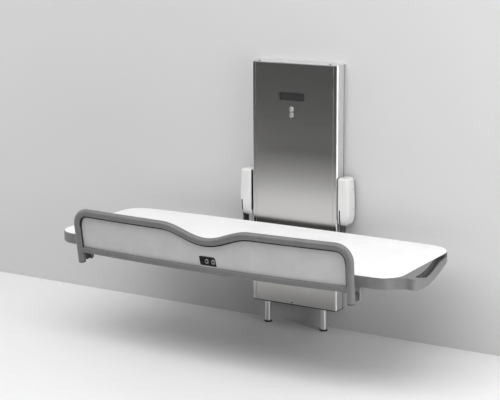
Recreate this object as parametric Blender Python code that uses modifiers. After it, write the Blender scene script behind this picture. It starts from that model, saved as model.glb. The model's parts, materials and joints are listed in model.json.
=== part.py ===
"""Wall-fastened adult changing station: lifting column, folding bench and swing-down guard rail.

Metres, +Z up, +X along the bench, the wall at y = 0 and the bench towards -Y. Heights in the constants are
above the floor; the origin is on the wall plate's rear face, WALL_MOUNT_HEIGHT above the floor.
"""
import math

import bmesh
import bpy
from mathutils import Matrix, Vector

# Clearances
SEAT_GAP = 0.0003
RUN_GAP = 0.0004
SIDE_PLAY = 0.0005

# Frame
WALL_MOUNT_HEIGHT = 0.660

# Column casing
COLUMN_WIDTH = 0.442
COLUMN_DEPTH = 0.070
COLUMN_TOP = 1.222
COLUMN_BOTTOM = 0.102
COLUMN_CORNER = 0.011
WALL_SLOT = 0.012
PROFILE_WALL = 0.003
PROFILE_LEDGE = 0.020
PROFILE_RETURN = 0.018
PANEL_SHEET = 0.002
CAP_THICKNESS = 0.004
CAP_RISE = 0.003
CAP_RISE_WIDTH = 0.347
CAP_GROOVE = 0.006
WALL_PLATE = 0.004

# Feet
FOOT_SPACING = 0.294
FOOT_SETBACK = 0.053
LEG_RADIUS = 0.0145
FOOT_RADIUS = 0.018
FOOT_HEIGHT = 0.007
FOOT_SOCKET = 0.003

# Lift drive
CROSSMEMBER_HEIGHT = 0.026
CROSSMEMBER_DEPTH = 0.054
CROSSMEMBER_INSET = 0.016
DRIVE_SETBACK = 0.036
ROD_SPACING = 0.330
ROD_RADIUS = 0.010
SCREW_RADIUS = 0.009
SCREW_JOURNAL = 0.006
SCREW_COLLAR = 0.014
SCREW_COLLAR_HEIGHT = 0.028
BEARING_RADIUS = 0.018
BEARING_HEIGHT = 0.012
MOTOR_RADIUS = 0.022
MOTOR_HEIGHT = 0.095
GEARBOX_RADIUS = 0.0185
GEARBOX_HEIGHT = 0.040
CONTROL_BOX_WIDTH = 0.086
CONTROL_BOX_HEIGHT = 0.145
CONTROL_BOX_DEPTH = 0.044
CONTROL_BOX_OFFSET = 0.102

# Column buttons
COLUMN_BUTTON_X = -0.012
UPPER_BUTTON_HEIGHT = 1.011
LOWER_BUTTON_HEIGHT = 0.985
BEZEL_RADIUS = 0.0105
BEZEL_FLANGE = 0.002
BEZEL_BARREL = 0.008
BEZEL_DEPTH = 0.010
COLUMN_BUTTON_RADIUS = 0.0062
BUTTON_TRAVEL = 0.002
BUTTON_PROUD = 0.001

# Bench
BENCH_TOP = 0.490
BENCH_HALF_LENGTH = 0.827
BENCH_CORNER = 0.092
LEFT_END_EXTRA = 0.019
LEFT_CORNER = 0.100
BENCH_FRONT = 0.757
BENCH_FRONT_BOW = 0.020
BENCH_BACK = 0.1204
BENCH_BACK_BOW = 0.0136
RIGHT_BACK_CORNER = 0.112
END_SLANT = 0.005
SLAB = 0.0057
RIM_LIP = 0.0025
RIM_HEIGHT = 0.041
RIM_WIDTH = 0.025
SEAM_FROM_END = 0.127
RIM_ROUND = 0.004
CROSS_TUBE_WIDTH = 0.030
CROSS_TUBE_WALL = 0.0025
REAR_TUBE_FROM_BACK = 0.110
FRONT_TUBE_FROM_FRONT = 0.150

# End mouldings; the right one reaches past the platform as a handle, with its grip lower than the rim
HANDLE_REACH = 0.073
HANDLE_GRIP = 0.014
HANDLE_DROP = 0.019
HANDLE_SLOT = 0.017
HANDLE_SLOT_FRONT = 0.087
HANDLE_SLOT_BACK = 0.080
HANDLE_ROUND = 0.005
POCKET_MARGIN = 0.064

# Carriage and hinge units
CARRIAGE_RISE = 0.045
CARRIAGE_HEIGHT = 0.115
CARRIAGE_PLATE = 0.006
CARRIAGE_STANDOFF = 0.0007
BEARING_BLOCK_WIDTH = 0.050
BEARING_BLOCK_DEPTH = 0.041
BEARING_BLOCK_MARGIN = 0.005
NUT_WIDTH = 0.050
NUT_DEPTH = 0.043
NUT_HEIGHT = 0.030
PIVOT_SETBACK = 0.045
PIVOT_RISE = 0.062
PIVOT_PIN_RADIUS = 0.006
PIVOT_BUSH_WALL = 0.0024
HINGE_PLATE = 0.0085
HINGE_PLATE_MARGIN = 0.004
HINGE_PLATE_LOW = 0.055
CHEEK = 0.003
CHEEK_NOSE = 0.012
CHEEK_RISE = 0.048
SPRING_WIRE = 0.0018
SPRING_TURNS = 5
SPRING_PITCH = 0.0042
SPRING_POINTS = 8

# White covers
COVER_GAP = 0.004
COVER_WIDTH = 0.058
COVER_FRONT = 0.081
COVER_LOW = 0.016
COVER_HEIGHT = 0.215
COVER_WALL = 0.0025
COVER_EDGE = 0.013
COVER_TOP_ROUND = 0.016
COVER_TUCK_HEIGHT = 0.061
COVER_TUCK_SIDE = 0.020
COVER_TUCK_FRONT = 0.013
COVER_SLOT_FROM_LEFT = 0.0135
COVER_SLOT_HEIGHT = 0.0705

# Support arms
WEB = 0.006
NECK_WIDTH = 0.042
ARM_DEPTH = 0.040
ARM_TIP_DEPTH = 0.022
ARM_WIDTH = 0.030
ARM_REACH = 0.640
ARM_FILLET = 0.045
ARM_HEEL = 0.022
ARM_BEAM_START = 0.112

# Guard rail
RAIL_HALF_SPAN = 0.6613
RAIL_SPLAY = math.radians(1.1)
RAIL_LEAN = math.radians(6.7)
RAIL_BOW = 0.0215
RAIL_RISE = 0.2346
RAIL_TUBE = 0.0163
RAIL_CORNER = 0.053
RAIL_MIDDLE_X = 0.010
DIP_DEPTH = 0.049
DIP_HALF_WIDTH = 0.215
RAIL_POINT_STEP = 0.025
RAIL_SHEET = 0.004
INFILL_GAP = 0.001
BAR_LOW = 0.050
BAR_HEIGHT = 0.0235
BAR_DEPTH = 0.020
CUTOUT_WIDTH = 0.082
CUTOUT_HEIGHT = 0.047
CUTOUT_SLANT = 0.006
CUTOUT_ROUND = 0.010
PLUG_HEIGHT = 0.006

# Rail hinges
RAIL_PIVOT_SETBACK = 0.019
RAIL_PIVOT_DROP = 0.0445
RAIL_STANDOFF = 0.0574
RAIL_FOOT_DROP = 0.0177
BRACKET_OFFSET = 0.0032
BRACKET_WIDTH = 0.023
BRACKET_HALF_DEPTH = 0.0135
BRACKET_FORK = 0.012
BRACKET_BRIDGE = 0.022
LUG_HUB = 0.0110
LUG_RISE = 0.019
RAIL_PIN_RADIUS = 0.005

# Bench control
CONTROL_X = -0.004
CONTROL_LEFT = 0.074
CONTROL_RIGHT = 0.042
CONTROL_HEIGHT = 0.050
CONTROL_TOP_MARGIN = 0.0035
CONTROL_PLATE = 0.005
CONTROL_COLLAR = 0.0015
CONTROL_COLLAR_WALL = 0.002
CONTROL_BUTTON_RADIUS = 0.0075
CONTROL_BUTTON_SPACING = 0.031

# Heights and depths worked out from the sizes above
HALF_WIDTH = COLUMN_WIDTH / 2
CASING_LOW = COLUMN_BOTTOM + CAP_THICKNESS + SEAT_GAP
CASING_HIGH = COLUMN_TOP - CAP_RISE - CAP_THICKNESS - SEAT_GAP
PLATE_FRONT = WALL_PLATE + SEAT_GAP
LOWER_MEMBER = CASING_LOW + CROSSMEMBER_INSET
UPPER_MEMBER = CASING_HIGH - CROSSMEMBER_INSET - CROSSMEMBER_HEIGHT
DRIVE_FLOOR = LOWER_MEMBER + CROSSMEMBER_HEIGHT + SEAT_GAP
SCREW_LOW = DRIVE_FLOOR + MOTOR_HEIGHT + GEARBOX_HEIGHT + SEAT_GAP
RIM_HALF_LENGTH = BENCH_HALF_LENGTH - SEAM_FROM_END
RIM_TOP = BENCH_TOP - SLAB - SEAT_GAP
RIM_LOW = RIM_TOP - RIM_HEIGHT
ARM_TOP = RIM_LOW - SEAT_GAP
ARM_LOW = ARM_TOP - ARM_DEPTH
CARRIAGE_LOW = BENCH_TOP + CARRIAGE_RISE
CARRIAGE_BACK = WALL_PLATE + CARRIAGE_STANDOFF
CARRIAGE_FRONT = CARRIAGE_BACK + CARRIAGE_PLATE + SEAT_GAP
HINGE_FRONT = CARRIAGE_FRONT + HINGE_PLATE
PIVOT_HEIGHT = BENCH_TOP + PIVOT_RISE
COVER_BACK = HINGE_FRONT + SEAT_GAP
COVER_BOTTOM = BENCH_TOP + COVER_LOW
COVER_TOP = COVER_BOTTOM + COVER_HEIGHT
LEFT_END = BENCH_HALF_LENGTH + LEFT_END_EXTRA
POCKET_RIGHT = BENCH_HALF_LENGTH - POCKET_MARGIN
POCKET_LEFT = LEFT_END - POCKET_MARGIN
BRACKET_X = RAIL_HALF_SPAN + BRACKET_OFFSET
RAIL_PIVOT_HEIGHT = RIM_LOW - RAIL_PIVOT_DROP
BAR_TOP = BAR_LOW + BAR_HEIGHT
SIDES = {"left": -1, "right": 1}

for old in list(bpy.data.objects):
    bpy.data.objects.remove(old, do_unlink=True)

parts = bpy.data.collections.new("adult_changing_station")
cutters = bpy.data.collections.new("cutters")
for group in (parts, cutters):
    bpy.context.scene.collection.children.link(group)

# Finishes: colour, roughness, metallic
STEEL = ((0.50, 0.50, 0.49), 0.34, 1.0)
ALUMINIUM = ((0.62, 0.62, 0.62), 0.38, 1.0)
BARE_STEEL = ((0.42, 0.42, 0.43), 0.30, 1.0)
ZINC = ((0.48, 0.48, 0.50), 0.45, 1.0)
CHROME = ((0.75, 0.75, 0.76), 0.12, 1.0)
GREY_PAINT = ((0.19, 0.19, 0.19), 0.48, 0.0)
GREY_MOULDING = ((0.22, 0.22, 0.22), 0.50, 0.0)
INFILL_GREY = ((0.40, 0.40, 0.40), 0.40, 0.0)
WHITE_TOP = ((0.86, 0.86, 0.86), 0.42, 0.0)
WHITE_COVER = ((0.74, 0.74, 0.74), 0.38, 0.0)
BLACK_PLASTIC = ((0.02, 0.02, 0.02), 0.50, 0.0)
BRONZE = ((0.42, 0.28, 0.12), 0.40, 1.0)


def front_edge(x):
    """Y of the bench's front edge, bowed out in the middle."""
    return -BENCH_FRONT + BENCH_FRONT_BOW * (x / RIM_HALF_LENGTH) ** 2


def back_edge(x):
    """Y of the bench's back edge, bowed towards the wall in the middle."""
    return -BENCH_BACK - BENCH_BACK_BOW * (x / RIM_HALF_LENGTH) ** 2


RAIL_PIVOT_Y = front_edge(BRACKET_X) + RAIL_PIVOT_SETBACK


# Empties: the station's frame, and one on each joint axis
def pivot(name, parent, place):
    empty = bpy.data.objects.new(name, None)
    empty.empty_display_size = 0.05
    parts.objects.link(empty)
    empty.parent = parent
    empty.location = place
    return empty


station = pivot("station_frame", None, (0, 0, -WALL_MOUNT_HEIGHT))
column_axis = pivot("column_axis", station, (0, 0, 0))
lift_axis = pivot("lift_axis", station, (0, -DRIVE_SETBACK, CARRIAGE_LOW))
fold_axis = pivot("bench_fold_axis", lift_axis, (0, DRIVE_SETBACK - PIVOT_SETBACK, PIVOT_HEIGHT - CARRIAGE_LOW))
swing_axis = pivot(
    "rail_swing_axis",
    fold_axis,
    (0, RAIL_PIVOT_Y + PIVOT_SETBACK, RAIL_PIVOT_HEIGHT - PIVOT_HEIGHT),
)
bpy.context.view_layer.update()


def finish(obj, look, carrier, angle=35):
    """Give a piece its material, its shading and the empty that carries it, keeping its place."""
    colour, roughness, metallic = look
    material = bpy.data.materials.new(obj.name)
    material.use_nodes = True
    shader = material.node_tree.nodes["Principled BSDF"]
    shader.inputs["Base Color"].default_value = (*colour, 1)
    shader.inputs["Roughness"].default_value = roughness
    shader.inputs["Metallic"].default_value = metallic
    obj.data.materials.clear()
    obj.data.materials.append(material)
    obj.data.shade_smooth()
    obj.data.set_sharp_from_angle(angle=math.radians(angle))
    obj.parent = carrier
    obj.matrix_parent_inverse = (station.matrix_world.inverted() @ carrier.matrix_world).inverted()
    return obj


def new_object(name, mesh, group=parts):
    obj = bpy.data.objects.new(name, mesh)
    group.objects.link(obj)
    return obj


def bmesh_object(name, mesh_data, group=parts):
    mesh = bpy.data.meshes.new(name)
    mesh_data.to_mesh(mesh)
    mesh_data.free()
    return new_object(name, mesh, group)


def soften(obj, width, segments=2, angle=40):
    """Round the sharp edges of a piece."""
    bevel = obj.modifiers.new("Rounded edges", "BEVEL")
    bevel.width = width
    bevel.segments = segments
    bevel.limit_method = "ANGLE"
    bevel.angle_limit = math.radians(angle)
    return obj


def box(name, x, y, z, group=parts):
    """A block between two X, two Y and two Z values."""
    block = bmesh.new()
    bmesh.ops.create_cube(block, size=1)
    spans = [(min(pair), max(pair)) for pair in (x, y, z)]
    bmesh.ops.scale(block, vec=[high - low for low, high in spans], verts=block.verts)
    obj = bmesh_object(name, block, group)
    obj.location = [(low + high) / 2 for low, high in spans]
    return obj


AXIS_TURN = {
    "X": Matrix(((0, 0, 1), (1, 0, 0), (0, 1, 0))).to_4x4(),
    "Y": Matrix(((1, 0, 0), (0, 0, -1), (0, 1, 0))).to_4x4(),
    "Z": Matrix.Identity(4),
}


def rod(name, radius, ends, place, axis, sides=24, group=parts):
    """A round bar along X, Y or Z; place holds the other two coordinates in order."""
    low, high = min(ends), max(ends)
    bar = bmesh.new()
    bmesh.ops.create_cone(
        bar, cap_ends=True, segments=sides, radius1=radius, radius2=radius, depth=high - low
    )
    obj = bmesh_object(name, bar, group)
    middle = (low + high) / 2
    centre = {
        "X": (middle, place[0], place[1]),
        "Y": (place[0], middle, place[1]),
        "Z": (place[0], place[1], middle),
    }[axis]
    obj.matrix_world = Matrix.Translation(centre) @ AXIS_TURN[axis]
    return obj


def turned(name, profile, centre, axis="Z", closed=False, steps=24, group=parts):
    """Turn a profile of (radius, height) pairs, given top to bottom on its outer side."""
    line = bmesh.new()
    points = [line.verts.new((radius, 0, height)) for radius, height in profile]
    for first, second in zip(points, points[1:]):
        line.edges.new((first, second))
    if closed:
        line.edges.new((points[-1], points[0]))
    obj = bmesh_object(name, line, group)
    obj.matrix_world = Matrix.Translation(centre) @ AXIS_TURN[axis]
    screw = obj.modifiers.new("Turned", "SCREW")
    screw.steps = steps
    screw.render_steps = steps
    screw.use_merge_vertices = True
    screw.merge_threshold = 0.00005
    return obj


def curve_mesh(name, curve, matrix, group=parts):
    """Make a curve's evaluated shape a welded mesh object."""
    guide = bpy.data.objects.new(name + "_guide", curve)
    bpy.context.scene.collection.objects.link(guide)
    guide.matrix_world = matrix
    bpy.context.view_layer.update()
    evaluated = guide.evaluated_get(bpy.context.evaluated_depsgraph_get())
    mesh = bpy.data.meshes.new_from_object(evaluated)
    weld = bmesh.new()
    weld.from_mesh(mesh)
    bmesh.ops.remove_doubles(weld, verts=weld.verts, dist=0.00002)
    flat = math.radians(0.2)
    bmesh.ops.dissolve_limit(weld, angle_limit=flat, verts=[], edges=weld.edges)
    bmesh.ops.recalc_face_normals(weld, faces=weld.faces)
    weld.to_mesh(mesh)
    weld.free()
    mesh.name = name
    obj = new_object(name, mesh, group)
    obj.matrix_world = matrix
    bpy.data.objects.remove(guide, do_unlink=True)
    return obj


def outline(name, loops, axis, span, group=parts):
    """A flat outline extruded along an axis between two values: (X, Y) for Z, (Y, Z) for X, (X, Z) for Y."""
    low, high = min(span), max(span)
    curve = bpy.data.curves.new(name, "CURVE")
    curve.dimensions = "2D"
    curve.fill_mode = "BOTH"
    curve.extrude = (high - low) / 2
    for loop in loops:
        spline = curve.splines.new("POLY")
        spline.points.add(len(loop) - 1)
        for point, (u, v) in zip(spline.points, loop):
            point.co = (u, v, 0, 1)
        spline.use_cyclic_u = True
    middle = (low + high) / 2
    shift = {"X": (middle, 0, 0), "Y": (0, middle, 0), "Z": (0, 0, middle)}[axis]
    return curve_mesh(name, curve, Matrix.Translation(shift) @ AXIS_TURN[axis], group)


def tube(name, path, radius, sides=4, group=parts):
    """A round tube along a list of points."""
    curve = bpy.data.curves.new(name, "CURVE")
    curve.dimensions = "3D"
    curve.bevel_depth = radius
    curve.bevel_resolution = sides
    curve.use_fill_caps = True
    spline = curve.splines.new("POLY")
    spline.points.add(len(path) - 1)
    for point, place in zip(spline.points, path):
        point.co = (*place, 1)
    return curve_mesh(name, curve, Matrix.Identity(4), group)


def combine(obj, other, operation):
    """Cut another shape out of a piece, or join it on, with a Boolean."""
    boolean = obj.modifiers.new(operation.title(), "BOOLEAN")
    boolean.operation = operation
    boolean.solver = "EXACT"
    boolean.object = other
    other.hide_render = True
    other.display_type = "WIRE"
    other.parent = station
    return obj


def cut(obj, other):
    return combine(obj, other, "DIFFERENCE")


def join(obj, other):
    return combine(obj, other, "UNION")


def arc(centre, radius, start, end, steps=6):
    """Points on a circle between two angles in degrees."""
    angles = [math.radians(start + (end - start) * step / steps) for step in range(steps + 1)]
    return [(centre[0] + radius * math.cos(a), centre[1] + radius * math.sin(a)) for a in angles]


def smooth(points, steps=4):
    """A smooth curve through a few points."""
    padded = [points[0], *points, points[-1]]
    curve = []
    for before, start, end, after in zip(padded, padded[1:], padded[2:], padded[3:]):
        for step in range(steps):
            t = step / steps
            curve.append(tuple(
                0.5 * (2 * b + (c - a) * t + (2 * a - 5 * b + 4 * c - d) * t ** 2
                       + (3 * b - a - 3 * c + d) * t ** 3)
                for a, b, c, d in zip(before, start, end, after)
            ))
    return curve + [points[-1]]


# Column
def side_profile(side, sign):
    """Extruded profile: rounded front corner, ledge behind the panel and a return at the wall slot."""
    outer = HALF_WIDTH
    corner = (outer - COLUMN_CORNER, -COLUMN_DEPTH + COLUMN_CORNER)
    seat = -COLUMN_DEPTH + PANEL_SHEET + SEAT_GAP
    step = outer - COLUMN_CORNER
    inner = outer - PROFILE_WALL
    section = [(outer, -WALL_SLOT)]
    section += arc(corner, COLUMN_CORNER, 0, -90)
    section += [
        (step, seat),
        (step - PROFILE_LEDGE, seat),
        (step - PROFILE_LEDGE, seat + PROFILE_WALL),
        (step, seat + PROFILE_WALL),
        (inner, corner[1]),
        (inner, -WALL_SLOT - PROFILE_WALL),
        (outer - PROFILE_RETURN, -WALL_SLOT - PROFILE_WALL),
        (outer - PROFILE_RETURN, -WALL_SLOT),
    ]
    loop = [(sign * x, y) for x, y in section]
    profile = outline(f"{side}_side_profile", [loop], "Z", (CASING_LOW, CASING_HIGH))
    return finish(profile, ALUMINIUM, column_axis)


def casing_plan(inset=0.0, width=COLUMN_WIDTH):
    """Plan outline of the column with its two rounded front corners."""
    half = width / 2 - inset
    front = -COLUMN_DEPTH + inset
    radius = COLUMN_CORNER
    plan = [(half, 0)]
    plan += arc((half - radius, front + radius), radius, 0, -90)
    plan += arc((-half + radius, front + radius), radius, -90, -180)
    plan.append((-half, 0))
    return plan


def column_casing():
    back = box(
        "wall_plate",
        (-HALF_WIDTH + PROFILE_WALL, HALF_WIDTH - PROFILE_WALL),
        (0, -WALL_PLATE),
        (CASING_LOW, CASING_HIGH),
    )
    finish(back, ZINC, column_axis)
    for side, sign in SIDES.items():
        side_profile(side, sign)
    panel_edge = HALF_WIDTH - COLUMN_CORNER - SIDE_PLAY
    panel = box(
        "front_panel",
        (-panel_edge, panel_edge),
        (-COLUMN_DEPTH, -COLUMN_DEPTH + PANEL_SHEET),
        (CASING_LOW, CASING_HIGH),
    )
    for height in (UPPER_BUTTON_HEIGHT, LOWER_BUTTON_HEIGHT):
        hole = rod(
            "button_hole",
            BEZEL_BARREL + SEAT_GAP,
            (-COLUMN_DEPTH - PANEL_SHEET, -COLUMN_DEPTH + 2 * PANEL_SHEET),
            (COLUMN_BUTTON_X, height),
            "Y",
            group=cutters,
        )
        cut(panel, hole)
    finish(panel, STEEL, column_axis)
    top = outline(
        "top_cap",
        [casing_plan()],
        "Z",
        (CASING_HIGH + SEAT_GAP, COLUMN_TOP - CAP_RISE),
    )
    raised = box(
        "cap_rise",
        (-CAP_RISE_WIDTH / 2, CAP_RISE_WIDTH / 2),
        (-CAP_GROOVE, -COLUMN_DEPTH + CAP_GROOVE),
        (COLUMN_TOP - CAP_RISE - CAP_THICKNESS / 2, COLUMN_TOP),
        group=cutters,
    )
    finish(join(top, raised), ALUMINIUM, column_axis)
    bottom = outline("bottom_cap", [casing_plan()], "Z", (COLUMN_BOTTOM, COLUMN_BOTTOM + CAP_THICKNESS))
    for sign in SIDES.values():
        hole = rod(
            "leg_hole",
            LEG_RADIUS + SEAT_GAP,
            (COLUMN_BOTTOM - CAP_THICKNESS, COLUMN_BOTTOM + 2 * CAP_THICKNESS),
            (sign * FOOT_SPACING / 2, -FOOT_SETBACK),
            "Z",
            group=cutters,
        )
        cut(bottom, hole)
    finish(bottom, ALUMINIUM, column_axis)


def feet():
    """Two leg tubes that rise through the bottom cap to the lower crossmember, each in a foot cap."""
    for side, sign in SIDES.items():
        place = (sign * FOOT_SPACING / 2, -FOOT_SETBACK)
        leg = rod(
            f"{side}_leg_tube",
            LEG_RADIUS,
            (FOOT_SOCKET + SEAT_GAP, LOWER_MEMBER - SEAT_GAP),
            place,
            "Z",
        )
        finish(leg, STEEL, column_axis)
        shoulder = FOOT_RADIUS - FOOT_HEIGHT / 4
        bore = LEG_RADIUS + SEAT_GAP
        profile = [
            (bore, FOOT_HEIGHT),
            (shoulder, FOOT_HEIGHT),
            (FOOT_RADIUS, FOOT_HEIGHT * 0.7),
            (FOOT_RADIUS, 0),
            (0, 0),
            (0, FOOT_SOCKET),
            (bore, FOOT_SOCKET),
        ]
        cap = turned(f"{side}_foot_cap", profile, (*place, 0))
        close_profile(cap)
        finish(cap, BLACK_PLASTIC, column_axis)


def close_profile(obj):
    """Close a turned profile that reaches the axis in two places."""
    loop = bmesh.new()
    loop.from_mesh(obj.data)
    loop.verts.ensure_lookup_table()
    loop.edges.new((loop.verts[len(loop.verts) - 1], loop.verts[0]))
    axis_edge = [edge for edge in loop.edges if all(abs(v.co.x) < 1e-9 for v in edge.verts)]
    bmesh.ops.delete(loop, geom=axis_edge, context="EDGES_FACES")
    loop.to_mesh(obj.data)
    loop.free()


def lift_drive():
    """Crossmembers, guide rods, motor, lead screw, its top bearing and the control box."""
    width = HALF_WIDTH - PROFILE_RETURN - SIDE_PLAY
    depth = (-PLATE_FRONT, -PLATE_FRONT - CROSSMEMBER_DEPTH)
    for name, low in (("bottom_crossmember", LOWER_MEMBER), ("top_crossmember", UPPER_MEMBER)):
        high = low + CROSSMEMBER_HEIGHT
        member = box(name, (-width, width), depth, (low, high))
        through = (low - CROSSMEMBER_HEIGHT, high + CROSSMEMBER_HEIGHT)
        for sign in SIDES.values():
            place = (sign * ROD_SPACING / 2, -DRIVE_SETBACK)
            cut(member, rod("rod_hole", ROD_RADIUS + SEAT_GAP, through, place, "Z", group=cutters))
        if name == "top_crossmember":
            seat = rod("bearing_seat", BEARING_RADIUS + SEAT_GAP, through, (0, -DRIVE_SETBACK), "Z", group=cutters)
            cut(member, seat)
        finish(member, ZINC, column_axis)
    for side, sign in SIDES.items():
        guide = rod(
            f"{side}_guide_rod",
            ROD_RADIUS,
            (LOWER_MEMBER, UPPER_MEMBER + CROSSMEMBER_HEIGHT),
            (sign * ROD_SPACING / 2, -DRIVE_SETBACK),
            "Z",
        )
        finish(guide, CHROME, column_axis)
    shaft_top = UPPER_MEMBER + CROSSMEMBER_HEIGHT
    centre = (0, -DRIVE_SETBACK, 0)
    motor_top = DRIVE_FLOOR + MOTOR_HEIGHT
    motor = turned(
        "drive_motor",
        [
            (0, motor_top + GEARBOX_HEIGHT),
            (GEARBOX_RADIUS, motor_top + GEARBOX_HEIGHT),
            (GEARBOX_RADIUS, motor_top),
            (MOTOR_RADIUS, motor_top),
            (MOTOR_RADIUS, DRIVE_FLOOR),
            (0, DRIVE_FLOOR),
        ],
        centre,
    )
    finish(motor, BLACK_PLASTIC, column_axis)
    screw = turned(
        "lead_screw",
        [
            (0, shaft_top),
            (SCREW_JOURNAL, shaft_top),
            (SCREW_JOURNAL, UPPER_MEMBER),
            (SCREW_RADIUS, UPPER_MEMBER),
            (SCREW_RADIUS, SCREW_LOW + SCREW_COLLAR_HEIGHT),
            (SCREW_COLLAR, SCREW_LOW + SCREW_COLLAR_HEIGHT),
            (SCREW_COLLAR, SCREW_LOW),
            (0, SCREW_LOW),
        ],
        centre,
    )
    finish(screw, BARE_STEEL, column_axis)
    bore = SCREW_JOURNAL + RUN_GAP
    bearing_low = UPPER_MEMBER + SEAT_GAP
    bearing = turned(
        "screw_bearing",
        [
            (BEARING_RADIUS, bearing_low + BEARING_HEIGHT),
            (BEARING_RADIUS, bearing_low),
            (bore, bearing_low),
            (bore, bearing_low + BEARING_HEIGHT),
        ],
        centre,
        closed=True,
    )
    finish(bearing, BARE_STEEL, column_axis)
    electronics = box(
        "control_box",
        (CONTROL_BOX_OFFSET - CONTROL_BOX_WIDTH / 2, CONTROL_BOX_OFFSET + CONTROL_BOX_WIDTH / 2),
        (-PLATE_FRONT, -PLATE_FRONT - CONTROL_BOX_DEPTH),
        (DRIVE_FLOOR, DRIVE_FLOOR + CONTROL_BOX_HEIGHT),
    )
    finish(soften(electronics, 0.003), BLACK_PLASTIC, column_axis)


def column_buttons():
    """Two ringed push buttons through the front panel."""
    heights = {"upper": UPPER_BUTTON_HEIGHT, "lower": LOWER_BUTTON_HEIGHT}
    for place, height in heights.items():
        centre = (COLUMN_BUTTON_X, -COLUMN_DEPTH, height)
        bore = COLUMN_BUTTON_RADIUS + RUN_GAP
        flange_front = BEZEL_FLANGE + SEAT_GAP
        bezel = turned(
            f"{place}_button_bezel",
            [
                (bore, flange_front),
                (BEZEL_RADIUS - BEZEL_FLANGE / 2, flange_front),
                (BEZEL_RADIUS, flange_front - BEZEL_FLANGE / 2),
                (BEZEL_RADIUS, SEAT_GAP),
                (BEZEL_BARREL, SEAT_GAP),
                (BEZEL_BARREL, -BEZEL_DEPTH),
                (bore, -BEZEL_DEPTH),
            ],
            centre,
            axis="Y",
            closed=True,
        )
        finish(bezel, CHROME, column_axis)
        front = flange_front + BUTTON_PROUD
        button = turned(
            f"{place}_column_button",
            [
                (0, front),
                (COLUMN_BUTTON_RADIUS * 0.8, front),
                (COLUMN_BUTTON_RADIUS, front - BUTTON_PROUD / 2),
                (COLUMN_BUTTON_RADIUS, BUTTON_TRAVEL - BEZEL_DEPTH),
                (0, BUTTON_TRAVEL - BEZEL_DEPTH),
            ],
            centre,
            axis="Y",
        )
        finish(button, CHROME, column_axis)


# Carriage
def carriage():
    """Plate whose ends pass out behind the side profiles, bearing blocks on the rods, and the lift nut."""
    reach = HALF_WIDTH + COVER_GAP + COVER_WIDTH - HINGE_PLATE_MARGIN
    low, high = CARRIAGE_LOW, CARRIAGE_LOW + CARRIAGE_HEIGHT
    plate = box(
        "carriage_plate",
        (-reach, reach),
        (-CARRIAGE_BACK, -CARRIAGE_BACK - CARRIAGE_PLATE),
        (low, high),
    )
    finish(plate, ZINC, lift_axis)
    block_depth = (-CARRIAGE_FRONT, -CARRIAGE_FRONT - BEARING_BLOCK_DEPTH)
    through = (low - CARRIAGE_HEIGHT, high + CARRIAGE_HEIGHT)
    for side, sign in SIDES.items():
        middle = sign * ROD_SPACING / 2
        block = box(
            f"{side}_bearing_block",
            (middle - BEARING_BLOCK_WIDTH / 2, middle + BEARING_BLOCK_WIDTH / 2),
            block_depth,
            (low + BEARING_BLOCK_MARGIN, high - BEARING_BLOCK_MARGIN),
        )
        bore = rod("block_bore", ROD_RADIUS + RUN_GAP, through, (middle, -DRIVE_SETBACK), "Z", group=cutters)
        finish(cut(block, bore), BLACK_PLASTIC, lift_axis)
    middle = (low + high) / 2
    nut = box(
        "lift_nut",
        (-NUT_WIDTH / 2, NUT_WIDTH / 2),
        (-CARRIAGE_FRONT, -CARRIAGE_FRONT - NUT_DEPTH),
        (middle - NUT_HEIGHT / 2, middle + NUT_HEIGHT / 2),
    )
    bore = rod("nut_bore", SCREW_RADIUS + RUN_GAP, through, (0, -DRIVE_SETBACK), "Z", group=cutters)
    finish(cut(nut, bore), BRONZE, lift_axis)


def cover_left_edge(sign):
    """X of a cover's left edge; both covers have the arm's slot near that edge."""
    return HALF_WIDTH + COVER_GAP if sign > 0 else -HALF_WIDTH - COVER_GAP - COVER_WIDTH


def web_middle(sign):
    return cover_left_edge(sign) + COVER_SLOT_FROM_LEFT


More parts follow.
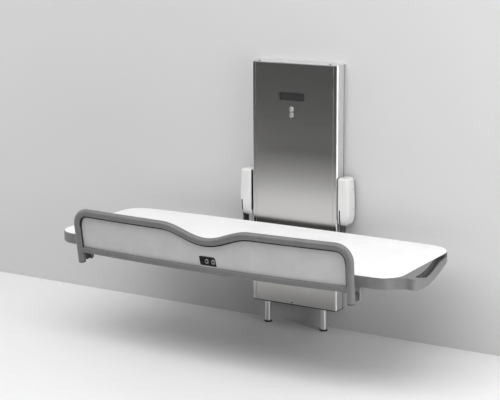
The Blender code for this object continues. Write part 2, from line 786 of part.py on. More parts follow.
def hinge_unit(side, sign):
    """Hinge bracket with two cheeks, pivot pin and lift-assist spring, bolted to the carriage plate's end."""
    left = cover_left_edge(sign)
    web_low = web_middle(sign) - WEB / 2
    web_high = web_middle(sign) + WEB / 2
    pin_end = left + COVER_WIDTH - COVER_SLOT_FROM_LEFT + WEB / 2
    bracket = box(
        f"{side}_hinge_bracket",
        (left + HINGE_PLATE_MARGIN, left + COVER_WIDTH - HINGE_PLATE_MARGIN),
        (-CARRIAGE_FRONT, -HINGE_FRONT),
        (BENCH_TOP + HINGE_PLATE_LOW, COVER_TOP - COVER_TOP_ROUND),
    )
    axle = (-PIVOT_SETBACK, PIVOT_HEIGHT)
    root = -CARRIAGE_FRONT - HINGE_PLATE / 2
    cheek_line = [(root, PIVOT_HEIGHT - CHEEK_NOSE)]
    cheek_line += arc(axle, CHEEK_NOSE, -90, -230, 10)
    cheek_line.append((root, PIVOT_HEIGHT + CHEEK_RISE))
    cheeks = {
        "outer": (web_low - SIDE_PLAY - CHEEK, web_low - SIDE_PLAY),
        "inner": (web_high + SIDE_PLAY, web_high + SIDE_PLAY + CHEEK),
    }
    for span in cheeks.values():
        join(bracket, outline("cheek", [cheek_line], "X", span, group=cutters))
    hole = rod(
        "pin_hole",
        PIVOT_PIN_RADIUS + SEAT_GAP,
        (left, left + COVER_WIDTH),
        axle,
        "X",
        group=cutters,
    )
    finish(cut(bracket, hole), ZINC, lift_axis)
    pin = rod(f"{side}_pivot_pin", PIVOT_PIN_RADIUS, (cheeks["outer"][0], pin_end), axle, "X")
    finish(pin, BARE_STEEL, lift_axis)
    coil_radius = (PIVOT_PIN_RADIUS + RUN_GAP + SPRING_WIRE) / math.cos(math.pi / SPRING_POINTS)
    start = cheeks["inner"][1] + SPRING_WIRE + SEAT_GAP
    count = SPRING_TURNS * SPRING_POINTS
    path = []
    for step in range(count + 1):
        angle = 2 * math.pi * step / SPRING_POINTS
        path.append((
            start + SPRING_PITCH * step / SPRING_POINTS,
            axle[0] + coil_radius * math.cos(angle),
            axle[1] + coil_radius * math.sin(angle),
        ))
    print(f"{side} spring: gap between turns {(SPRING_PITCH - 2 * SPRING_WIRE) * 1000:.2f} mm")
    finish(tube(f"{side}_torsion_spring", path, SPRING_WIRE, sides=1), BARE_STEEL, lift_axis, angle=60)


def cover_section(height, sign):
    """One level of a cover: from its back edge round the front to the other back edge, seen from above."""
    tuck = max(0.0, 1 - (height - COVER_BOTTOM) / COVER_TUCK_HEIGHT)
    tuck = 1 - math.sqrt(1 - tuck ** 2)
    dome = max(0.0, 1 - (COVER_TOP - height) / COVER_TOP_ROUND)
    dome = COVER_TOP_ROUND * (1 - math.sqrt(1 - dome ** 2))
    near = HALF_WIDTH + COVER_GAP + dome
    far = HALF_WIDTH + COVER_GAP + COVER_WIDTH - dome - COVER_TUCK_SIDE * tuck
    front = -COVER_FRONT + dome + COVER_TUCK_FRONT * tuck
    level = [(near, -COVER_BACK)]
    level += arc((near + COVER_EDGE, front + COVER_EDGE), COVER_EDGE, 180, 270, 4)
    level += arc((far - COVER_EDGE, front + COVER_EDGE), COVER_EDGE, 270, 360, 4)
    level.append((far, -COVER_BACK))
    return [(sign * x, y, height) for x, y in level]


def cover(side, sign):
    """Moulded cover: open behind and below, with the slot that the arm's web swings through."""
    levels = [COVER_BOTTOM + COVER_TUCK_HEIGHT * step / 6 for step in range(7)]
    levels += [
        COVER_TOP - COVER_TOP_ROUND * (1 - math.sin(math.radians(angle)))
        for angle in (0, 22, 45, 64, 80)
    ]
    shell = bmesh.new()
    rows = [[shell.verts.new(point) for point in cover_section(level, sign)] for level in levels]
    for lower, upper in zip(rows, rows[1:]):
        for column in range(len(lower) - 1):
            shell.faces.new((lower[column], lower[column + 1], upper[column + 1], upper[column]))
    shell.faces.new(rows[-1])
    bmesh.ops.recalc_face_normals(shell, faces=shell.faces)
    outward = sum((face.normal.y for face in shell.faces), 0.0)
    if outward > 0:
        bmesh.ops.reverse_faces(shell, faces=shell.faces)
    obj = bmesh_object(f"{side}_cover", shell)
    wall = obj.modifiers.new("Wall", "SOLIDIFY")
    wall.thickness = COVER_WALL
    wall.offset = -1
    wall.use_even_offset = True
    middle = web_middle(sign)
    half = WEB / 2 + SIDE_PLAY
    slot = box(
        "cover_slot",
        (middle - half, middle + half),
        (-COVER_BACK + COVER_WALL, -COVER_FRONT - COVER_WALL),
        (COVER_BOTTOM - COVER_WALL, COVER_BOTTOM + COVER_SLOT_HEIGHT),
        group=cutters,
    )
    finish(cut(obj, slot), WHITE_COVER, lift_axis)


# Bench
def support_arm(side, sign):
    """Arm: a thin web that hangs from the pivot and a tapered beam under the bench."""
    axle = (-PIVOT_SETBACK, PIVOT_HEIGHT)
    half = NECK_WIDTH / 2
    front = axle[0] - half
    rear = axle[0] + half
    web_line = arc(axle, half, 180, 0, 12)
    web_line += arc((rear - ARM_HEEL, ARM_LOW + ARM_HEEL), ARM_HEEL, 0, -90)
    web_line += [(-ARM_BEAM_START - ARM_HEEL, ARM_LOW), (-ARM_BEAM_START - ARM_HEEL, ARM_TOP)]
    web_line += arc((front - ARM_FILLET, ARM_TOP + ARM_FILLET), ARM_FILLET, -90, 0)
    middle = web_middle(sign)
    arm = outline(f"{side}_support_arm", [web_line], "X", (middle - WEB / 2, middle + WEB / 2))
    beam_line = [
        (-ARM_BEAM_START, ARM_TOP),
        (-ARM_REACH, ARM_TOP),
        (-ARM_REACH, ARM_TOP - ARM_TIP_DEPTH),
        (-ARM_BEAM_START, ARM_LOW),
    ]
    beam = outline("arm_beam", [beam_line], "X", (middle - ARM_WIDTH / 2, middle + ARM_WIDTH / 2), group=cutters)
    join(arm, beam)
    bush_radius = PIVOT_PIN_RADIUS + RUN_GAP + PIVOT_BUSH_WALL
    hole = rod("hub_bore", bush_radius + SEAT_GAP, (middle - WEB, middle + WEB), axle, "X", group=cutters)
    finish(cut(arm, hole), GREY_PAINT, fold_axis)
    bush = turned(
        f"{side}_pivot_bush",
        [
            (bush_radius, WEB / 2),
            (bush_radius, -WEB / 2),
            (PIVOT_PIN_RADIUS + RUN_GAP, -WEB / 2),
            (PIVOT_PIN_RADIUS + RUN_GAP, WEB / 2),
        ],
        (middle, *axle),
        axis="X",
        closed=True,
    )
    finish(bush, BRONZE, fold_axis)


def platform_end(end, front_corner, back_corner, slant, inset=0.0):
    """Plan of one end of the bench, from its front edge round to its back edge, for an end at +X."""
    turn = end - front_corner
    line = arc((turn, front_edge(turn) + front_corner), front_corner - inset, -90, 0, 8)
    turn = end - slant - back_corner
    return line + arc((turn, back_edge(turn) - back_corner), back_corner - inset, 0, 90, 8)


def mirrored(line):
    return [(-x, y) for x, y in reversed(line)]


def platform_plan(inset):
    """Bench outline moved in by an inset: bowed front and back, straight ends and round corners."""
    right = platform_end(BENCH_HALF_LENGTH, BENCH_CORNER, RIGHT_BACK_CORNER, END_SLANT, inset)
    left = mirrored(platform_end(LEFT_END, LEFT_CORNER, LEFT_CORNER, 0.0, inset))
    start, stop = left[-1][0], right[0][0]
    steps = 12
    between = [start + (stop - start) * step / steps for step in range(1, steps)]
    plan = [(x, front_edge(x) + inset) for x in between] + right
    start, stop = right[-1][0], left[0][0]
    between = [start + (stop - start) * step / steps for step in range(1, steps)]
    return plan + [(x, back_edge(x) - inset) for x in between] + left


def seated(piece):
    """Cut the white sheet's seat into a rim or an end moulding, which leaves its lip standing."""
    plan = platform_plan(RIM_LIP - SEAT_GAP)
    seat = outline(piece.name + "_seat", [plan], "Z", (RIM_TOP, BENCH_TOP + SLAB), group=cutters)
    return cut(piece, seat)


def platform():
    """White sheet let into the grey edge all round."""
    top = outline("platform_top", [platform_plan(RIM_LIP)], "Z", (BENCH_TOP - SLAB, BENCH_TOP))
    finish(soften(top, SLAB / 4, segments=1), WHITE_TOP, fold_axis)


def rims():
    """Front and rear rim bars, each with a lip that stands outside the white sheet."""
    half = RIM_HALF_LENGTH - SEAT_GAP
    steps = 10
    stations = [-half + 2 * half * step / steps for step in range(steps + 1)]
    edges = {
        "front_rim": (front_edge, RIM_WIDTH),
        "rear_rim": (back_edge, -RIM_WIDTH),
    }
    for name, (edge, inward) in edges.items():
        plan = [(x, edge(x)) for x in stations]
        plan += [(x, edge(x) + inward) for x in reversed(stations)]
        bar = outline(name, [plan], "Z", (RIM_LOW, BENCH_TOP))
        finish(seated(soften(bar, RIM_ROUND)), GREY_MOULDING, fold_axis)


def handle_outline():
    """Outer plan of an end moulding, from the front seam round the grip to the rear seam."""
    end = BENCH_HALF_LENGTH
    reach = end + HANDLE_REACH
    front = front_edge(RIM_HALF_LENGTH)
    back = back_edge(RIM_HALF_LENGTH)
    bend = BENCH_CORNER
    turn = end - bend
    front_turn = arc((turn, front_edge(turn) + bend), bend, -90, -38, 2)
    turn = end - END_SLANT - RIGHT_BACK_CORNER
    back_turn = arc((turn, back_edge(turn) - RIGHT_BACK_CORNER), RIGHT_BACK_CORNER, 10, 70, 2)
    return smooth([
        (RIM_HALF_LENGTH, front),
        *front_turn,
        (end + 0.28 * HANDLE_REACH, front + 0.63 * bend),
        (end + 0.70 * HANDLE_REACH, front + 0.64 * bend),
        (reach - 0.04 * HANDLE_REACH, front + 0.95 * bend),
        (reach, front + 1.43 * bend),
        (reach - 0.10 * HANDLE_REACH, front + 2.20 * bend),
        (reach - 0.38 * HANDLE_REACH, front + 3.28 * bend),
        (end + 0.22 * HANDLE_REACH, back - 2.00 * bend),
        *back_turn,
        (RIM_HALF_LENGTH, back),
    ])


def offset_inward(line, distance):
    """A line moved to its left side, which is the bench's side of the handle outline."""
    moved = []
    for index, (x, y) in enumerate(line):
        before = line[max(index - 1, 0)]
        after = line[min(index + 1, len(line) - 1)]
        along = Vector((after[0] - before[0], after[1] - before[1])).normalized()
        moved.append((x - along.y * distance, y + along.x * distance))
    return moved


def shortened(line):
    """A line whose end points are moved half-way to their neighbours."""
    first = Vector(line[0]).lerp(Vector(line[1]), 0.5)
    last = Vector(line[-1]).lerp(Vector(line[-2]), 0.5)
    return [tuple(first), *line[1:-1], tuple(last)]


def pocket_plan(pocket):
    """Plan of the open space inside an end moulding whose pocket reaches out to +X = pocket."""
    seam = RIM_HALF_LENGTH
    front = front_edge(seam)
    back = back_edge(seam)
    shoulder = BENCH_CORNER / 2
    return [
        (seam, back + BENCH_CORNER),
        (seam, back - RIM_WIDTH),
        (pocket - shoulder, back - RIM_WIDTH),
        (pocket, back - RIM_WIDTH - shoulder),
        (pocket, front + RIM_WIDTH + shoulder),
        (pocket - shoulder, front + RIM_WIDTH),
        (seam, front + RIM_WIDTH),
        (seam, front - BENCH_CORNER),
        (seam - 2 * BENCH_CORNER, front - BENCH_CORNER),
        (seam - 2 * BENCH_CORNER, back + BENCH_CORNER),
    ]


def end_blank(name, line):
    """Solid end moulding inside an outer line that runs from the front seam to the rear seam."""
    inner = math.copysign(RIM_HALF_LENGTH - BENCH_CORNER, line[0][0])
    moulding = outline(name, [[*line, (inner, line[-1][1]), (inner, line[0][1])]], "Z", (RIM_LOW, BENCH_TOP))
    return soften(moulding, HANDLE_ROUND, angle=60)


def left_end_moulding():
    """Plain end moulding round the platform's left end."""
    seam = RIM_HALF_LENGTH
    line = [(seam, front_edge(seam)), *platform_end(LEFT_END, LEFT_CORNER, LEFT_CORNER, 0.0), (seam, back_edge(seam))]
    moulding = end_blank("left_end_moulding", [(-x, y) for x, y in line])
    pocket = [(-x, y) for x, y in pocket_plan(POCKET_LEFT)]
    space = outline("left_pocket", [pocket], "Z", (RIM_LOW - SLAB, BENCH_TOP + SLAB), group=cutters)
    finish(seated(cut(moulding, space)), GREY_MOULDING, fold_axis)


def right_end_handle():
    """End moulding with a hand slot behind its outer grip."""
    outer = handle_outline()
    slot_front = front_edge(RIM_HALF_LENGTH) + HANDLE_SLOT_FRONT
    slot_back = back_edge(RIM_HALF_LENGTH) - HANDLE_SLOT_BACK
    beside = [slot_front < y < slot_back for x, y in outer]
    grip = [p for p, near in zip(offset_inward(outer, HANDLE_GRIP), beside) if near]
    ledge = [p for p, near in zip(offset_inward(outer, HANDLE_GRIP + HANDLE_SLOT), beside) if near]
    middle = [p for p, near in zip(offset_inward(outer, HANDLE_GRIP + HANDLE_SLOT / 2), beside) if near]
    outside = [p for p, near in zip(offset_inward(outer, -HANDLE_GRIP), beside) if near]
    handle = end_blank("right_end_handle", outer)
    through = (RIM_LOW - SLAB, BENCH_TOP + SLAB)
    cut(handle, outline("hand_slot", [grip + ledge[::-1]], "Z", through, group=cutters))
    above = (RIM_TOP - HANDLE_DROP, BENCH_TOP + SLAB)
    relief = shortened(outside) + shortened(middle)[::-1]
    cut(handle, outline("grip_relief", [relief], "Z", above, group=cutters))
    space = outline("right_pocket", [pocket_plan(POCKET_RIGHT)], "Z", through, group=cutters)
    finish(seated(cut(handle, space)), GREY_MOULDING, fold_axis)


def cross_tubes():
    """Two open rectangular tubes that tie the arms to the end mouldings."""
    ends = (-POCKET_LEFT + SEAT_GAP, POCKET_RIGHT - SEAT_GAP)
    places = {
        "rear_cross_tube": -BENCH_BACK - REAR_TUBE_FROM_BACK,
        "front_cross_tube": -BENCH_FRONT + FRONT_TUBE_FROM_FRONT,
    }
    for name, middle in places.items():
        depth = (middle - CROSS_TUBE_WIDTH / 2, middle + CROSS_TUBE_WIDTH / 2)
        bar = box(name, ends, depth, (RIM_LOW, RIM_TOP))
        hollow = box(
            "tube_hollow",
            (ends[0] - CROSS_TUBE_WIDTH, ends[1] + CROSS_TUBE_WIDTH),
            (depth[0] + CROSS_TUBE_WALL, depth[1] - CROSS_TUBE_WALL),
            (RIM_LOW + CROSS_TUBE_WALL, RIM_TOP - CROSS_TUBE_WALL),
            group=cutters,
        )
        finish(cut(bar, hollow), ALUMINIUM, fold_axis)


def bench_control():
    """Control panel on the front rim, with two collared push buttons."""
    face = -BENCH_FRONT - SEAT_GAP
    high = RIM_TOP - CONTROL_TOP_MARGIN
    panel = box(
        "control_panel",
        (CONTROL_X - CONTROL_LEFT, CONTROL_X + CONTROL_RIGHT),
        (face, face - CONTROL_PLATE),
        (high - CONTROL_HEIGHT, high),
    )
    soften(panel, CONTROL_PLATE / 4)
    height = RIM_TOP - RIM_HEIGHT / 2
    bore = CONTROL_BUTTON_RADIUS + RUN_GAP
    front = face - CONTROL_PLATE - CONTROL_COLLAR
    buttons = {"raise_button": -1, "lower_button": 1}
    for name, sign in buttons.items():
        x = CONTROL_X + sign * CONTROL_BUTTON_SPACING / 2
        ring = rod(
            "collar",
            bore + CONTROL_COLLAR_WALL,
            (face - CONTROL_PLATE / 2, front),
            (x, height),
            "Y",
            group=cutters,
        )
        join(panel, ring)
        hole = rod("collar_bore", bore, (face + BEZEL_DEPTH, front - BEZEL_DEPTH), (x, height), "Y", group=cutters)
        cut(panel, hole)
        crown = front - BUTTON_PROUD
        button = rod(
            name,
            CONTROL_BUTTON_RADIUS,
            (crown, face - BUTTON_TRAVEL - SEAT_GAP),
            (x, height),
            "Y",
        )
        finish(soften(button, BUTTON_PROUD / 2), CHROME, fold_axis)
    finish(panel, BLACK_PLASTIC, fold_axis)


# Guard rail
def rail_point(x, rise, out=0.0):
    """A point on the leaning, bowed rail surface: along X, up the lean, and outwards from it."""
    up = Vector((0, -math.sin(RAIL_LEAN), math.cos(RAIL_LEAN)))
    outward = Vector((0, -math.cos(RAIL_LEAN), -math.sin(RAIL_LEAN)))
    foot = Vector((x, RAIL_PIVOT_Y - RAIL_STANDOFF, RAIL_PIVOT_HEIGHT - RAIL_FOOT_DROP))
    bow = RAIL_BOW * (1 - (x / RAIL_HALF_SPAN) ** 2)
    return foot + up * rise + outward * (out + bow)


def leg_x(rise):
    return RAIL_HALF_SPAN + rise * math.tan(RAIL_SPLAY)


def dip(x):
    """How far the hoop's top drops at x."""
    share = (x - RAIL_MIDDLE_X) / DIP_HALF_WIDTH
    return DIP_DEPTH * 0.5 * (1 + math.cos(math.pi * share)) if abs(share) < 1 else 0.0


def hoop_path():
    """Centre line of the hoop in (x, rise): up one leg, across the top and down the other."""
    turn = leg_x(RAIL_RISE) - RAIL_CORNER
    shoulder = RAIL_RISE - RAIL_CORNER
    leg = [(-leg_x(rise), rise) for rise in (PLUG_HEIGHT, shoulder / 2, shoulder)]
    left = leg + arc((-turn, shoulder), RAIL_CORNER, 180, 90, 7)[1:]
    count = round(2 * turn / RAIL_POINT_STEP)
    across = [-turn + 2 * turn * step / count for step in range(1, count)]
    top = [(x, RAIL_RISE - dip(x)) for x in across]
    right = [(-x, rise) for x, rise in reversed(left)]
    return left + top + right


def rail_sheet(name, half, low, high, thickness, columns, rows):
    """A bowed sheet between two lines, thickened both ways from the rail's surface."""
    grid = bmesh.new()
    bmesh.ops.create_grid(grid, x_segments=columns, y_segments=rows, size=1)
    for vert in grid.verts:
        # stations crowd towards the ends, where the corners turn
        x = half * math.sin(vert.co.x * math.pi / 2)
        share = (vert.co.y + 1) / 2
        vert.co = rail_point(x, low + (high(x) - low) * share)
    sheet = bmesh_object(name, grid)
    wall = sheet.modifiers.new("Thickness", "SOLIDIFY")
    wall.thickness = thickness
    wall.offset = 0
    return sheet


def infill_top(x):
    """Upper edge of the infill under the hoop at x."""
    clear = RAIL_TUBE + INFILL_GAP
    inner = RAIL_CORNER - clear
    turn = leg_x(RAIL_RISE) - RAIL_CORNER
    past = min(max(abs(x) - turn, 0.0), inner)
    step = RAIL_TUBE / 2
    slope = (dip(x + step) - dip(x - step)) / (2 * step)
    below = clear * math.sqrt(1 + slope ** 2)
    return RAIL_RISE - dip(x) - below - (inner - math.sqrt(inner ** 2 - past ** 2))


def guard_rail():
    hoop = tube("rail_hoop", [rail_point(x, rise) for x, rise in hoop_path()], RAIL_TUBE)
    finish(hoop, GREY_PAINT, swing_axis)
    inside = RAIL_HALF_SPAN - RAIL_TUBE - SIDE_PLAY
    low = BAR_TOP + SEAT_GAP
    panel = rail_sheet("rail_panel", inside, low, infill_top, RAIL_SHEET, 80, 1)
    left = RAIL_MIDDLE_X - CUTOUT_WIDTH / 2
    right = RAIL_MIDDLE_X + CUTOUT_WIDTH / 2
    window_low = rail_point(RAIL_MIDDLE_X, low - CUTOUT_ROUND).z
    window_high = rail_point(RAIL_MIDDLE_X, low + CUTOUT_HEIGHT).z
    window = [(right + CUTOUT_SLANT, window_low)]
    window += arc((right - CUTOUT_ROUND, window_high - CUTOUT_ROUND), CUTOUT_ROUND, 0, 90)
    window += arc((left + CUTOUT_ROUND, window_high - CUTOUT_ROUND), CUTOUT_ROUND, 90, 180)
    window.append((left + CUTOUT_SLANT, window_low))
    depth = rail_point(RAIL_MIDDLE_X, low).y
    span = (depth - RAIL_STANDOFF, depth + RAIL_STANDOFF / 2)
    finish(cut(panel, outline("finger_window", [window], "Y", span, group=cutters)), INFILL_GREY, swing_axis)
    bar_half = RAIL_HALF_SPAN - RAIL_TUBE - SIDE_PLAY
    bar = rail_sheet("rail_lower_bar", bar_half, BAR_LOW, lambda x: BAR_TOP, BAR_DEPTH, 16, 1)
    finish(soften(bar, 0.003), GREY_PAINT, swing_axis)
    for side, sign in SIDES.items():
        plug_path = [rail_point(sign * leg_x(0), 0), rail_point(sign * leg_x(0), PLUG_HEIGHT - SEAT_GAP)]
        finish(tube(f"{side}_leg_plug", plug_path, RAIL_TUBE), BLACK_PLASTIC, swing_axis)


def rail_hinge(side, sign):
    """Fork bracket under the front rim, its pin, and the lug that carries the rail's leg."""
    axle = (RAIL_PIVOT_Y, RAIL_PIVOT_HEIGHT)
    middle = sign * BRACKET_X
    top = RIM_LOW - SEAT_GAP
    half = BRACKET_HALF_DEPTH
    shape = [(axle[0] + half, top), (axle[0] - half, top)]
    shape += arc(axle, half, 180, 360, 12)
    span = (middle - BRACKET_WIDTH / 2, middle + BRACKET_WIDTH / 2)
    bracket = outline(f"{side}_rail_bracket", [shape], "X", span)
    fork = box(
        "fork_gap",
        (middle - BRACKET_FORK / 2, middle + BRACKET_FORK / 2),
        (axle[0] - 2 * half, axle[0] + 2 * half),
        (axle[1] - 2 * half, top - BRACKET_BRIDGE),
        group=cutters,
    )
    cut(bracket, fork)
    hole = rod(
        "rail_pin_hole",
        RAIL_PIN_RADIUS + SEAT_GAP,
        (middle - BRACKET_WIDTH, middle + BRACKET_WIDTH),
        axle,
        "X",
        group=cutters,
    )
    finish(cut(bracket, hole), GREY_PAINT, fold_axis)
    pin = rod(f"{side}_rail_pin", RAIL_PIN_RADIUS, span, axle, "X")
    finish(pin, BARE_STEEL, fold_axis)

    leg_foot = rail_point(sign * leg_x(0), 0)
    leg_top = rail_point(sign * leg_x(RAIL_RISE / 2), RAIL_RISE / 2)
    lug_line = arc(axle, LUG_HUB, 90, -90, 10)
    lug_line += [(leg_foot.y, axle[1] - LUG_HUB), (leg_foot.y, axle[1] + LUG_RISE)]
    lug_line.append((axle[0] - BRACKET_HALF_DEPTH, axle[1] + LUG_RISE))
    lug_half = BRACKET_FORK / 2 - SIDE_PLAY
    lug = outline(f"{side}_rail_lug", [lug_line], "X", (middle - lug_half, middle + lug_half))
    lug_bore = rod(
        "lug_bore",
        RAIL_PIN_RADIUS + RUN_GAP,
        (middle - BRACKET_WIDTH, middle + BRACKET_WIDTH),
        axle,
        "X",
        group=cutters,
    )
    cut(lug, lug_bore)
    along = (leg_top - leg_foot).normalized() * RAIL_STANDOFF
    saddle_radius = (RAIL_TUBE + SEAT_GAP) / math.cos(math.pi / 12)
    saddle = tube("leg_saddle", [leg_foot - along, leg_foot + 2 * along], saddle_radius, group=cutters)
    finish(cut(lug, saddle), GREY_PAINT, swing_axis)


column_casing()
feet()
lift_drive()
column_buttons()
carriage()
for side_name, side_sign in SIDES.items():
    hinge_unit(side_name, side_sign)
    cover(side_name, side_sign)
    support_arm(side_name, side_sign)
platform()
rims()
left_end_moulding()
right_end_handle()
cross_tubes()
bench_control()
guard_rail()
for side_name, side_sign in SIDES.items():
    rail_hinge(side_name, side_sign)
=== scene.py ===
import json
import math

import bpy
from mathutils import Matrix, Vector


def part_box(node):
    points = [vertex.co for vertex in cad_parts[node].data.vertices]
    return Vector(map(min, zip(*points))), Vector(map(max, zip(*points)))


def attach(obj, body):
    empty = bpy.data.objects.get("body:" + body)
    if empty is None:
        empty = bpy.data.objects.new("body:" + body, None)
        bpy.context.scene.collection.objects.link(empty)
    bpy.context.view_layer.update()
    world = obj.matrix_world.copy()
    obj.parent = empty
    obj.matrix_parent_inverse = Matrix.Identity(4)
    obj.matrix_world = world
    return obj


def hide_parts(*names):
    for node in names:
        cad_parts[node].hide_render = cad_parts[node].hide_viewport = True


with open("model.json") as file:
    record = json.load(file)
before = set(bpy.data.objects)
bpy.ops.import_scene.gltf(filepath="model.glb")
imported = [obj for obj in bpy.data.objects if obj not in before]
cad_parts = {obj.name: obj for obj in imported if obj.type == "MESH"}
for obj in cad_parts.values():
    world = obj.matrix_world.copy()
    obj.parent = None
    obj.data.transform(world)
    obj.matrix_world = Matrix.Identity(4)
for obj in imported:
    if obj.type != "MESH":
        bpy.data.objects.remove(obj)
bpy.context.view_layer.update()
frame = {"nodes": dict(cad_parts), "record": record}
floorHeight = -0.66   # the origin is on the wall, 0.66 m above the floor
print("frame loaded,", len(frame["nodes"]), "nodes")

# camera, fitted to the photograph's edges
cameraPlace = {
    "azimuth": 31.5573,
    "elevation": 11.9874,
    "roll": -0.384,
    "focalPixels": 1396.383,
    "framePixels": 500,
    "sensor": 36,
    "spot": (3.0685, -5.4452, 1.2522),
}


def placeCamera(place):
    around, above, roll = (math.radians(place[key]) for key in ("azimuth", "elevation", "roll"))
    back = Vector((math.sin(around) * math.cos(above), -math.cos(around) * math.cos(above), math.sin(above)))
    right = Vector((0, 0, 1)).cross(back).normalized()
    up = back.cross(right)
    turnedRight = math.cos(roll) * right + math.sin(roll) * up
    turnedUp = -math.sin(roll) * right + math.cos(roll) * up
    bpy.ops.object.camera_add()
    camera = bpy.context.object
    camera.data.sensor_width = place["sensor"]
    camera.data.lens = place["focalPixels"] / place["framePixels"] * place["sensor"]
    camera.data.clip_end = 100
    matrix = Matrix((turnedRight, turnedUp, back)).transposed().to_4x4()
    matrix.translation = place["spot"]
    camera.matrix_world = matrix
    bpy.context.scene.camera = camera


placeCamera(cameraPlace)
bpy.context.scene.view_settings.view_transform = "Standard"


# material tools
def linear(hexColour):
    channels = [int(hexColour[i:i + 2], 16) / 255 for i in (1, 3, 5)]
    return [c / 12.92 if c <= 0.04045 else ((c + 0.055) / 1.055) ** 2.4 for c in channels] + [1.0]


def addNode(tree, kind, settings=None, links=None):
    node = tree.nodes.new(kind)
    for key, value in (settings or {}).items():
        if isinstance(key, int) or key in node.inputs:
            node.inputs[key].default_value = value
        else:
            setattr(node, key, value)
    for key, source in (links or {}).items():
        tree.links.new(source, node.inputs[key])
    return node


def startMaterial(name, hexColour, roughness, metallic=0.0):
    material = bpy.data.materials.new(name)
    material.use_nodes = True
    shader = material.node_tree.nodes["Principled BSDF"]
    shader.inputs["Base Color"].default_value = linear(hexColour)
    shader.inputs["Roughness"].default_value = roughness
    shader.inputs["Metallic"].default_value = metallic
    return material, material.node_tree, shader


def perMetre(millimetres):
    return 1000 / millimetres


# tone and gloss follow one pattern, the relief follows another
def addSkin(tree, shader, finish, pattern, relief, toneEnds, depth):
    tone = addNode(tree, "ShaderNodeValToRGB", links={"Fac": pattern.outputs["Fac"]})
    for element, key, end in zip(tone.color_ramp.elements, ("hexDark", "hex"), toneEnds):
        element.color = linear(finish[key])
        element.position = end
    tree.links.new(tone.outputs["Color"], shader.inputs["Base Color"])
    rough = addNode(tree, "ShaderNodeMapRange", {
        "To Min": finish["roughness"] - finish["roughSpread"], "To Max": finish["roughness"] + finish["roughSpread"],
    }, {"Value": pattern.outputs["Fac"]})
    tree.links.new(rough.outputs["Result"], shader.inputs["Roughness"])
    bump = addNode(tree, "ShaderNodeBump", {"Strength": finish["bump"], "Distance": depth},
                   {"Height": relief.outputs["Fac"]})
    tree.links.new(bump.outputs["Normal"], shader.inputs["Normal"])


# brushed sheet: fine upright grain that streaks the reflections, a little uneven from rolling
def brushedSheet(name, finish):
    material, tree, shader = startMaterial(name, finish["hex"], finish["roughness"], 1.0)
    place = addNode(tree, "ShaderNodeTexCoord")
    stretch = addNode(tree, "ShaderNodeMapping", {
        "Scale": (perMetre(finish["grainMm"]), perMetre(finish["grainMm"]), perMetre(finish["strokeMm"])),
    }, {"Vector": place.outputs["Object"]})
    grain = addNode(tree, "ShaderNodeTexNoise", {"Scale": 1.0, "Detail": 3.0}, {"Vector": stretch.outputs[0]})
    addSkin(tree, shader, finish, grain, grain, (0.3, 0.7), 0.0001)
    return material


# moulded or painted skin: a close grain in the surface and slow drifts of tone and gloss
def grainedSkin(name, finish):
    material, tree, shader = startMaterial(name, finish["hex"], finish["roughness"], finish.get("metallic", 0.0))
    place = addNode(tree, "ShaderNodeTexCoord")
    drift = addNode(tree, "ShaderNodeTexNoise", {"Scale": perMetre(finish["driftMm"]), "Detail": 4.0},
                    {"Vector": place.outputs["Object"]})
    grain = addNode(tree, "ShaderNodeTexNoise", {"Scale": perMetre(finish["grainMm"]), "Detail": 2.0},
                    {"Vector": place.outputs["Object"]})
    addSkin(tree, shader, finish, drift, grain, (0.25, 0.65), 0.0003)
    return material


# brushed stainless: grain about 0.5 mm, drawn at 2 mm so that it shows at this picture size
stainless = brushedSheet("brushedStainless", {
    "hex": "#d6d5d3", "hexDark": "#d0cfcd", "roughness": 0.27, "roughSpread": 0.008,
    "grainMm": 2.0, "strokeMm": 260, "bump": 0.010,
})
# anodised aluminium: pale satin metal with faint lines along the extrusion
aluminium = brushedSheet("anodisedAluminium", {
    "hex": "#f2f2f2", "hexDark": "#e6e6e6", "roughness": 0.36, "roughSpread": 0.04,
    "grainMm": 1.5, "strokeMm": 400, "bump": 0.04,
})
# ground steel: bright with fine turning lines
machined = brushedSheet("groundSteel", {
    "hex": "#bdbdbf", "hexDark": "#a2a2a6", "roughness": 0.24, "roughSpread": 0.05,
    "grainMm": 3.0, "strokeMm": 3, "bump": 0.08,
})
# zinc plating: cool grey with soft cloudy spangle about 12 mm across
zinc = grainedSkin("zincPlate", {
    "hex": "#c0c3c6", "hexDark": "#a3a7ab", "roughness": 0.42, "roughSpread": 0.08, "metallic": 1.0,
    "driftMm": 12, "grainMm": 2.5, "bump": 0.06,
})
# polished chrome on the pins and button rings: near mirror with faint smears
chrome = grainedSkin("polishedChrome", {
    "hex": "#ececec", "hexDark": "#dedede", "roughness": 0.12, "roughSpread": 0.03, "metallic": 1.0,
    "driftMm": 20, "grainMm": 4, "bump": 0.02,
})
# sintered bronze: warm, open-grained and a little dull
bronze = grainedSkin("sinteredBronze", {
    "hex": "#b58a52", "hexDark": "#8f6a3b", "roughness": 0.38, "roughSpread": 0.06, "metallic": 1.0,
    "driftMm": 5, "grainMm": 0.8, "bump": 0.15,
})
# black ABS: moulded, spark-textured, soft low sheen
blackPlastic = grainedSkin("blackAbs", {
    "hex": "#2b2b2b", "hexDark": "#202020", "roughness": 0.46, "roughSpread": 0.05,
    "driftMm": 40, "grainMm": 1.2, "bump": 0.12,
})
# black rubber: matt, nearly no gloss
blackRubber = grainedSkin("blackRubber", {
    "hex": "#191919", "hexDark": "#111111", "roughness": 0.75, "roughSpread": 0.05,
    "driftMm": 30, "grainMm": 1.0, "bump": 0.1,
})
# white ABS covers: smooth moulding with a soft gloss
whiteAbs = grainedSkin("whiteAbs", {
    "hex": "#dfdfde", "hexDark": "#d9d9d9", "roughness": 0.22, "roughSpread": 0.04,
    "driftMm": 60, "grainMm": 1.6, "bump": 0.04,
})
